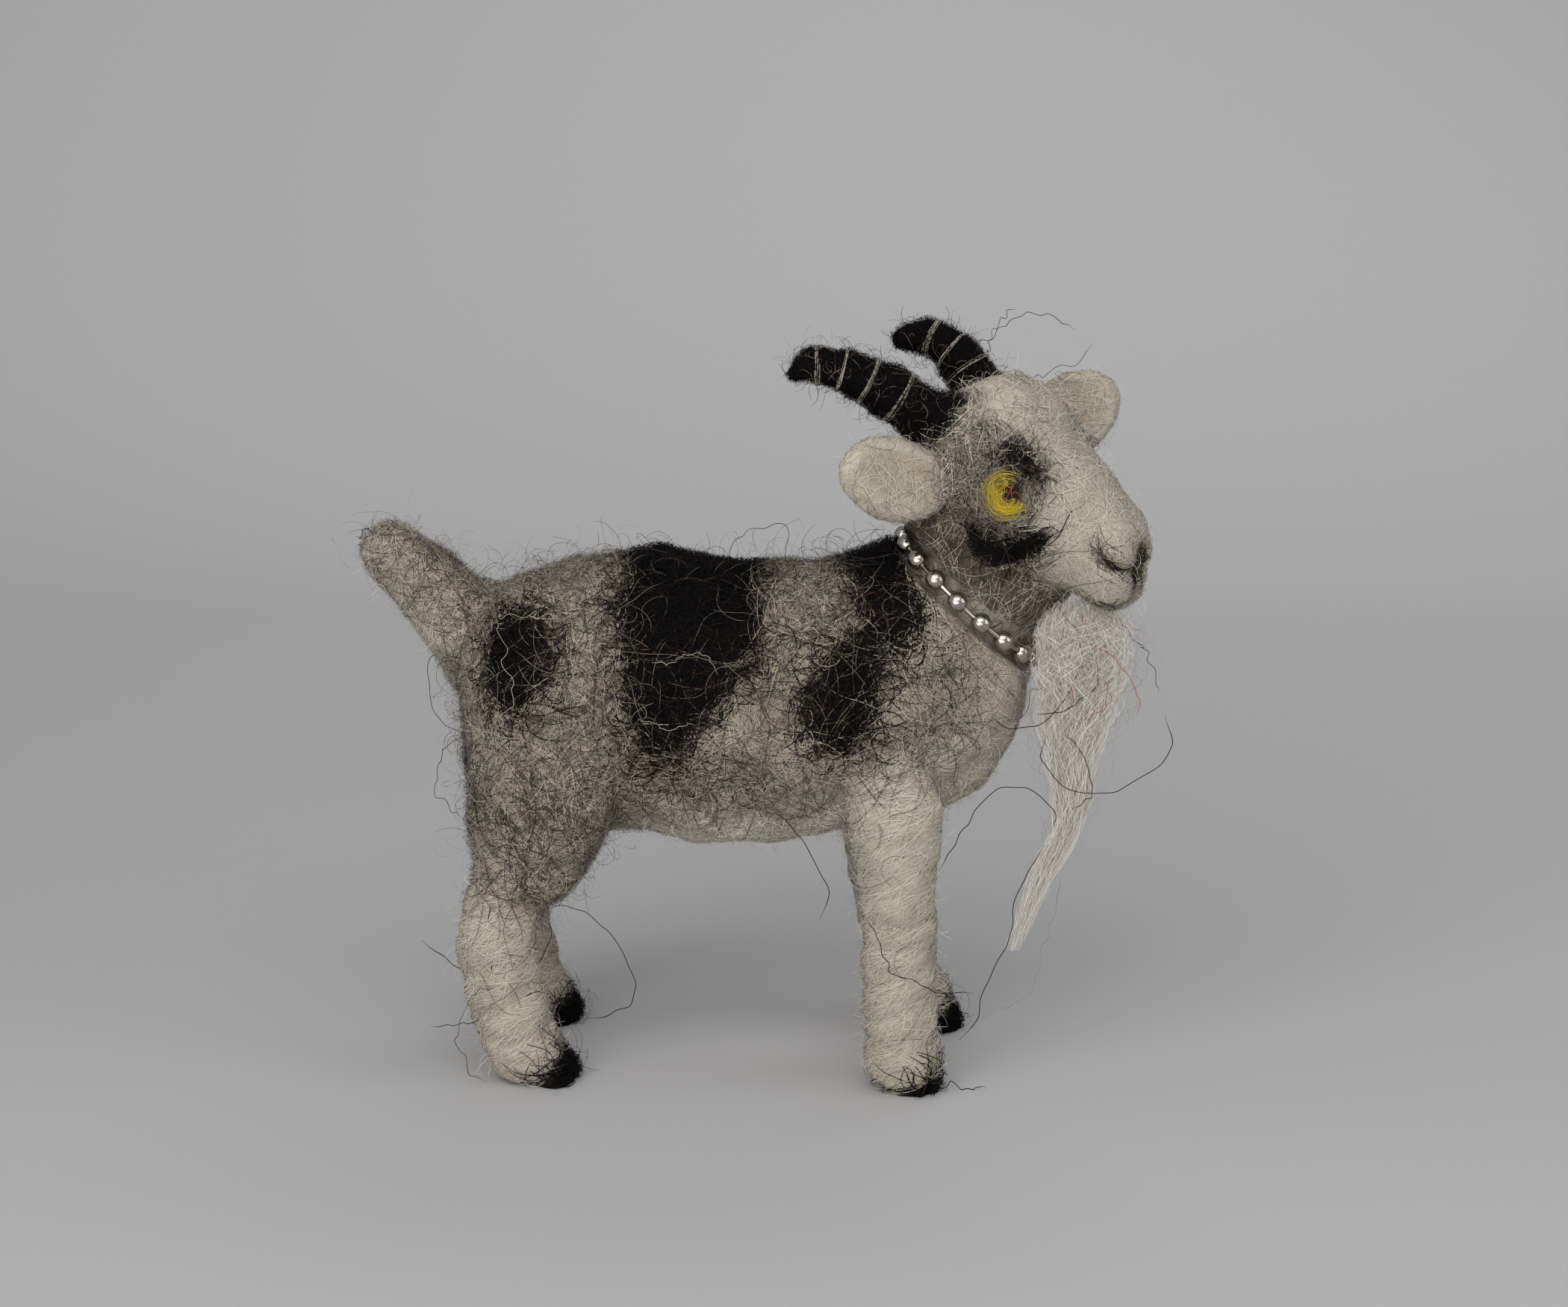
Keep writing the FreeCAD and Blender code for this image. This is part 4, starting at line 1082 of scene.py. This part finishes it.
for name, tones, where, *look in [
    ("coat_fuzz_dark", {"grey": 0.50}, 1.0, "brown", (3, 8.5), 201, 0.55, 12),
    ("coat_fuzz_pale", {"grey": 0.55}, 1.0, "ash", (3, 7.5), 202, 0.55, 11),
    ("patch_fuzz", {"black": 0.9}, body_black, "dark", (2, 6), 203, 0.55, 10),
    ("horn_fuzz", {"black": 2.4}, horn_only, "dark", (1.0, 3.6), 204, 0.6, 8),
    ("horn_fuzz_rust", {"black": 0.9}, horn_only, "rust", (0.8, 3.4), 205, 0.6, 8),
    ("cream_fuzz", {"cream": 1.4, "lining": 0.6}, 1.0, "ivory", (0.8, 3.0), 206, 0.5, 6),
    ("face_fuzz", {"face": 1.2, "mantle": 0.9}, 1.0, "mid", (0.8, 2.8), 207, 0.5, 6),
    ("hoof_fuzz", {"black": 2.2}, hoof_only, "dark", (2.0, 5.0), 208, 0.8, 12),
]:
    fuzz_layer(name, thickness(tones, where), *look)


# ---------------------------------------------------------------- features laid on along given lines


def laid(points, count, spread, seed, part, height):
    """Strands that follow a drawn line over the skin, each a little to one side and part of its length."""
    steps, fine_steps = 12, 60
    r = np.random.default_rng(seed)
    line = smooth_path(points, fine_steps)
    length = np.linalg.norm(np.diff(line, axis=0), axis=1).sum()
    paths = []
    for _ in range(count):
        share = r.uniform(*part)
        begin = r.uniform(0, 1 - share)
        at = np.linspace(begin, begin + share, steps + 1) * (fine_steps - 1)
        p = np.stack([np.interp(at, np.arange(fine_steps), line[:, k]) for k in range(3)], 1)
        wave = r.normal(0, spread, (3, 3))
        s = np.linspace(0, 1, steps + 1)[:, None]
        p = p + wave[0] + wave[1] * np.sin(s * math.pi * 2 + r.uniform(0, 6)) * 0.7 + wave[2] * (s - 0.5)
        paths.append(p + r.normal(0, 0.03 * length / steps, p.shape))
    paths = np.array(paths)
    level = np.repeat(r.uniform(*height, count), steps + 1)
    return lifted(paths, level)


def head_line(points, way):
    """A line given by (forward, up) and how far out to the side, on one side of the head."""
    return from_head([(u, way * v, w) for u, w, v in points])


def build_eye(side):
    """A crescent of yellow wool, open forwards and upwards, round a dark middle."""
    centre = np.array([EYE_U, WAY[side] * 8.6, EYE_W])
    r = np.random.default_rng(300 + WAY[side])

    def ring(start, stop, radius, n, spread, label, tone, width, steps=11):
        """Strands round part of a ring, between two angles in degrees."""
        a0 = np.radians(r.uniform(start, stop, n))
        span = np.radians(r.uniform(50, 130, n)) * np.sign(r.normal(size=n))
        t = np.linspace(0, 1, steps)[None]
        a = a0[:, None] + span[:, None] * (t - 0.5)
        a = np.clip(a, math.radians(start - 8), math.radians(stop + 8))
        rad = radius + r.normal(0, spread, (n, 1))
        rad = rad + 0.25 * r.normal(size=(n, 1)) * np.sin(t * 5 + r.uniform(0, 6, (n, 1)))
        local = np.stack([rad * np.cos(a), np.zeros_like(a), rad * np.sin(a)], -1) + centre
        path, up = lifted(from_head(local), np.repeat(r.uniform(0.25, 0.6, n), steps))
        add_strands(f"{label}_{side}", path, up, r.uniform(*width, n), tone)

    ring(118, 350, 1.6, 70, 0.38, "iris_wool", "yellow", (0.03, 0.06))
    ring(90, 355, 1.85, 90, 0.60, "iris_wisps", "olive", (0.03, 0.055))
    ring(130, 335, 2.1, 30, 0.75, "iris_flyaway", "yellow", (0.02, 0.035))
    for name, count, tone, spread, level in [
        ("pupil_wool", 60, "rust", 0.75, 0.25),
        ("pupil_dark", 90, "dark", 0.9, 0.25),
        ("pupil_red", 4, "red", 0.8, 0.30),
    ]:
        flat = np.array([1, 0, 1])
        mid = centre + np.array([0.15, 0, 0.15])
        start = mid + r.normal(0, spread * 0.6, (count, 3)) * flat
        bend = r.normal(0, 0.5, (count, 3)) * flat
        t = np.linspace(-0.8, 0.8, 9)[None, :, None]
        local = start[:, None] + r.normal(0, spread, (count, 1, 3)) * flat * t + bend[:, None] * t**2
        path, up = lifted(from_head(local), level)
        add_strands(f"{name}_{side}", path, up, r.uniform(0.04, 0.09, count), tone)


def claim(node):
    """Hides a CAD node, so that strand pieces show in its place."""
    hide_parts(node)


def add_laid(name, points, count, spread, seed, tone, width, part, height=(0.1, 0.4)):
    """Strands along a line, on both sides of the head."""
    lines = [head_line(points, WAY[side]) for side in SIDES]
    strands = [laid(line, count, spread, seed + i, part, height) for i, line in enumerate(lines)]
    path, up = (np.concatenate(two) for two in zip(*strands))
    r = np.random.default_rng(seed)
    keep = allowed(path, 0.0)
    add_strands(name, path[keep], up[keep], r.uniform(*width, len(path))[keep], tone)


for side in SIDES:
    build_eye(side)
    claim(f"iris_{side}")
    claim(f"pupil_{side}")


def bow(start, end, sag, swell=0.0):
    """Seven points from start to end, bowed by sag in height and by swell outwards."""
    t = np.linspace(0, 1, 7)[:, None]
    straight = np.array(start) + (np.array(end) - np.array(start)) * t
    return [tuple(q) for q in straight + 4 * t * (1 - t) * np.array([0, sag, swell])]


# Lines on the head: forward, up and out to the side, in the head's own frame.
MOUTH = bow((21, -0.5, 2), (16, 2, 6), -1.4, 1.0)
NOSE = bow((20.5, 2, 0.5), (21.5, -4, 1), 0.0)
LIP = bow((21.5, -4, 1), (17.5, -6, 4), -0.9, 0.5)
CHEEK = bow((3, -4, 8), (11.5, -0.5, 7), -3.6)
BROW = bow((2.5, 5, 8), (8.5, 4, 7.5), 0.8)


add_laid("nose_wool", NOSE, 60, 0.38, 401, "black", (0.04, 0.08), part=(0.2, 0.6), height=(0.1, 0.5))
add_laid("nose_loose", NOSE, 50, 0.9, 403, "mid", (0.03, 0.05), part=(0.3, 0.7))
add_laid("mouth_wool", MOUTH, 30, 0.26, 405, "black", (0.03, 0.05), part=(0.15, 0.5), height=(0.1, 0.45))
add_laid("mouth_loose", MOUTH, 40, 0.8, 407, "brown", (0.03, 0.05), part=(0.3, 0.8))
add_laid("lip_wool", LIP, 40, 0.35, 409, "dark", (0.035, 0.06), part=(0.2, 0.5))
add_laid("cheek_wool", CHEEK, 380, 0.48, 411, "black", (0.05, 0.09), part=(0.15, 0.4), height=(0.1, 0.6))
add_laid("cheek_loose", CHEEK, 120, 1.2, 413, "dark", (0.03, 0.05), part=(0.2, 0.5), height=(0.1, 0.5))
add_laid("brow_wool", BROW, 170, 0.6, 415, "black", (0.045, 0.08), part=(0.15, 0.4), height=(0.1, 0.4))
add_laid("brow_loose", BROW, 110, 1.3, 417, "dark", (0.03, 0.05), part=(0.2, 0.5), height=(0.1, 0.5))
claim("nose")
claim("mouth_line")


def wind_threads(side):
    """Pale thread wound on a horn: eight loose strands at each band, each about once round."""
    r = np.random.default_rng(500 + len(side))
    paths, ups = [], []
    for centre, along, radius in band_places(side):
        a = unit(np.cross(along, [0.1, 1.0, 0.2]))
        b = np.cross(along, a)
        for _ in range(8):
            span = r.uniform(3.6, 7.0)
            t = np.linspace(0, 1, 25)
            turn = r.uniform(0, 6.28) + span * t
            out = a * np.cos(turn)[:, None] + b * np.sin(turn)[:, None]
            slide = r.normal(0, 0.13) + r.normal(0, 0.25) * (t - 0.5)
            slide = slide + 0.06 * np.sin(turn * 2 + r.uniform(0, 6))
            paths.append(centre + out * (radius + 0.3) + along * slide[:, None])
            ups.append(out)
    path, up = np.array(paths), np.array(ups)
    path = on_skin(path.reshape(-1, 3), 0.42).reshape(path.shape)
    add_strands(f"horn_thread_{side}_wool", path, up, r.uniform(0.04, 0.075, len(path)), "ash")
    claim(f"horn_thread_{side}")


for side in SIDES:
    wind_threads(side)


# ---------------------------------------------------------------- beard


# Height, then x of its middle and half sizes along x and y.
BEARD = [
    (57.0, 38.0, 3.5, 2.5),
    (54.0, 38.0, 5.2, 3.0),
    (49.0, 38.0, 5.2, 3.0),
    (44.5, 37.5, 4.5, 2.5),
    (39.0, 37.0, 3.0, 2.0),
    (34.0, 37.0, 2.2, 1.5),
    (30.0, 36.5, 1.6, 1.2),
    (26.0, 34.5, 1.5, 1.0),
    (21.0, 32.5, 1.2, 0.8),
    (15.5, 30.5, 0.7, 0.4),
]
BEARD_Y = -6.5


def build_beard():
    """A thin wisp of long white wool, with a few coloured hairs in it."""
    r = np.random.default_rng(611)
    rows = np.array(BEARD)[::-1]

    def at(z):
        return [np.interp(z, rows[:, 0], rows[:, k]) for k in (1, 2, 3)]

    def strands(name, count, width, tone, reach, wave, tuck, steps=40):
        """Strands down the beard; reach is their least and greatest length."""

        def sway(height, low, high):
            """A wave down each strand, with its own pace and start."""
            pace = r.uniform(low, high, (count, 1))
            return height * np.sin(t * pace + r.uniform(0, 6, (count, 1)))

        top = r.uniform(55.0, 57.4, count)
        bottom = top - reach[0] - (reach[1] - reach[0]) * r.random(count) ** 1.3
        bottom = np.maximum(bottom, 15.4)
        t = np.linspace(0, 1, steps + 1)[None]
        z = top[:, None] + (bottom - top)[:, None] * t
        x, rx, ry = at(z)
        ang = r.uniform(0, 2 * math.pi, (count, 1)) + sway(0.9, 2, 8)
        rad = np.sqrt(r.random((count, 1))) * tuck + sway(0.12, 6, 14)
        px = x + rx * rad * np.cos(ang) + sway(wave, 8, 40)
        py = BEARD_Y + ry * rad * np.sin(ang) + sway(wave, 8, 40)
        path = np.stack([px, py, z], -1)
        up = np.broadcast_to(unit(r.normal(size=(count, 1, 3))), path.shape)
        add_strands(name, path, up, r.uniform(*width, count), tone, "beard")

    strands("beard_wool", 1300, (0.025, 0.055), "white", (5, 42), 0.30, 1.0)
    strands("beard_ivory", 420, (0.03, 0.06), "ivory", (8, 44), 0.35, 1.0)
    strands("beard_stray_pale", 110, (0.025, 0.04), "ash", (8, 40), 0.8, 1.6)
    strands("beard_stray_red", 9, (0.035, 0.05), "red", (10, 26), 0.8, 1.2)
    claim("beard")


build_beard()


# ---------------------------------------------------------------- loose long hairs


def hair(points, radius, seed, wobble=0.28):
    """One long loose hair through points, a little crimped, as a round tube."""
    r = np.random.default_rng(seed)
    line = smooth_path(points, 110)
    s = np.linspace(0, 1, len(line))[:, None]
    ends = np.clip(np.minimum(s, 1 - s) * 8, 0, 1)
    for k in range(4):
        line = line + ends * wobble / (k + 1) * r.normal(size=3) * np.sin(s * (14 + 13 * k) + r.uniform(0, 6))
    line[:, 2] = np.maximum(line[:, 2], 0.06)
    taper = radius * np.clip(np.minimum(s, 1 - s)[:, 0] * 12, 0.35, 1)
    return tube_mesh(line, taper, 4)


def stray(root, heading, length, turn, r):
    """A route in the plane of the goat's side: it leaves root at heading and turns steadily,
    with a seeded wander. Degrees, 0 towards the head and 90 upwards."""
    steps = 9
    sway = np.cumsum(r.normal(size=steps)) * 14.0
    angle = np.radians(heading + np.linspace(0, turn, steps) + sway - sway[0])
    reach = length / steps
    x = root[0] + np.concatenate([[0], np.cumsum(np.cos(angle))]) * reach
    z = root[2] + np.concatenate([[0], np.cumsum(np.sin(angle))]) * reach
    return np.stack([x, np.full(steps + 1, root[1]), np.maximum(z, 0.3)], 1)


# Each hair: where it is rooted in mm, its heading, its length and how far it turns.
LOOSE = {
    "dark": [
        ((-37, -14, 7), 0, 15, 35), ((-28, -15, 24), 235, 17, 45), ((-24, -12, 21), 5, 24, -230),
        ((-24, -10, 20), 290, 22, -110), ((-10, -11, 33), 10, 28, -75), ((22, -14, 27), 60, 22, -190),
        ((14, -16, 22), 290, 17, 20), ((-42, -2, 63), 130, 5, 60), ((20, -12, 2), 330, 9, 60),
    ],
    "brown": [
        ((-3, -3, 60), 80, 14, -170), ((-33, -3, 50), 190, 20, 130), ((-34, -6, 30), 150, 14, -110),
        ((27, 1, 81), 0, 13, 70), ((25, 2, 84), 60, 14, -150), ((27, 1, 82), 105, 9, -30),
        ((-30, -16, 1), 150, 16, -120),
    ],
    "ash": [
        ((-34, -17, 43), 15, 18, 40), ((-28, -17, 57), 275, 15, -10), ((-28, -16, 57), 335, 9, 30),
        ((-12, -17, 45), 345, 7, 10), ((-35, -15, 35), 10, 11, -15), ((-3, -16, 50), 110, 9, 60),
        ((36, -4, 24), 265, 22, -60),
    ],
}
BEARD_HAIRS = {
    "dark": [
        ((35, -9, 57), 305, 30, -210), ((34, -9, 42), 260, 25, 190), ((36, -9, 42), 325, 11, -170),
        ((38, -9, 52), 325, 13, -100), ((34, -9, 29), 240, 26, 35),
    ],
    "red": [((38, -9, 57), 270, 15, -40), ((37, -9, 48), 260, 11, 170)],
    "brown": [((40, -6, 57), 290, 13, -20), ((35, -7, 51), 265, 11, 0)],
}


def build_hairs(prefix, table, body):
    """The hairs of each tone as one piece."""
    seed = 700
    for tone, lines in table.items():
        parts = []
        for line in lines:
            seed += 1
            route = stray(*line, np.random.default_rng(seed + 90))
            parts.append(hair(route, 0.050 if tone == "dark" else 0.040, seed))
        piece = make_object(f"{prefix}_{tone}", *joined(parts), STRAND[tone])
        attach(piece, body)


build_hairs("loose_hair", LOOSE, "goat")
build_hairs("beard_hair", BEARD_HAIRS, "beard")


# ---------------------------------------------------------------- floor, light and camera


def build_stage():
    """A floor that sweeps up into a backdrop, painted lighter up the wall."""
    graph = Graph("backdrop_card")
    back = graph.add("SeparateXYZ", {0: graph.position()}).outputs["Y"]
    # Painted light: the card is lighter up the wall than on the floor, making up for the lamps lighting the
    # wall less.
    climb = graph.ramp(back, (20.0, 420.0), (0.0, 1.0), interpolation_type="SMOOTHSTEP")
    mat = graph.surface(
        {
            "Base Color": graph.blend(climb, (0.46, 0.458, 0.462), (0.54, 0.54, 0.545)),
            "Roughness": 0.85,
            "Specular IOR Level": 0.2,
        }
    )
    reach, start, radius = 2600.0, 250, 220  # half its width, and where the sweep starts to climb
    turn = np.linspace(0, math.pi / 2, 60)
    y = np.concatenate([[-reach, -300, 0, 150], start + radius * np.sin(turn), [start + radius] * 2])
    z = np.concatenate([[0, 0, 0, 0], radius * (1 - np.cos(turn)), [500, 1200]])
    verts = np.array([[x, depth, height] for depth, height in zip(y, z) for x in (-reach, reach)])
    i = np.arange(len(y) - 1) * 2
    make_object("backdrop", verts, np.stack([i, i + 1, i + 3, i + 2], 1), mat)


def area_light(name, place, target, size, power, colour):
    """A rectangle of light that faces a target; size in mm and power in watts."""
    data = bpy.data.lights.new(name, "AREA")
    data.shape = "RECTANGLE"
    data.size, data.size_y = size[0] * MM, size[1] * MM
    data.energy = power
    data.color = colour
    obj = bpy.data.objects.new(name, data)
    obj.location = Vector(place) * MM
    obj.rotation_euler = (Vector(target) - Vector(place)).to_track_quat("-Z", "Y").to_euler()
    bpy.context.scene.collection.objects.link(obj)


def build_camera():
    """A long lens from the goat's right, a little above it."""
    data = bpy.data.cameras.new("camera")
    data.sensor_width = 36
    data.lens = 78.5
    data.clip_start = 0.01
    obj = bpy.data.objects.new("camera", data)
    place, target = Vector((30.6, -389.6, 135.6)), Vector((3.33, 0, 49.02))
    obj.location = place * MM
    obj.rotation_euler = (target - place).to_track_quat("-Z", "Y").to_euler()
    bpy.context.scene.collection.objects.link(obj)
    bpy.context.scene.camera = obj


build_stage()
build_camera()
area_light("overhead", (-20, -300, 390), (0, 0, 30), (520, 260), 0.80, (1.0, 0.99, 0.97))
area_light("front_fill", (-150, -420, 220), (0, 0, 45), (420, 320), 0.60, (1.0, 0.98, 0.96))
area_light("low_fill", (-60, -420, 70), (0, 0, 30), (420, 120), 0.50, (1.0, 0.97, 0.93))
area_light("side_fill", (380, -120, 180), (0, 0, 45), (260, 260), 0.30, (0.97, 0.98, 1.0))
area_light("rear_fill", (100, 330, 330), (0, 0, 40), (360, 200), 0.25, (1.0, 0.99, 0.98))
world = bpy.data.worlds.new("world")
world.use_nodes = True
world.node_tree.nodes["Background"].inputs["Color"].default_value = (0.66, 0.66, 0.67, 1)
world.node_tree.nodes["Background"].inputs["Strength"].default_value = 0.68
bpy.context.scene.world = world
bpy.context.scene.view_settings.view_transform = "Standard"
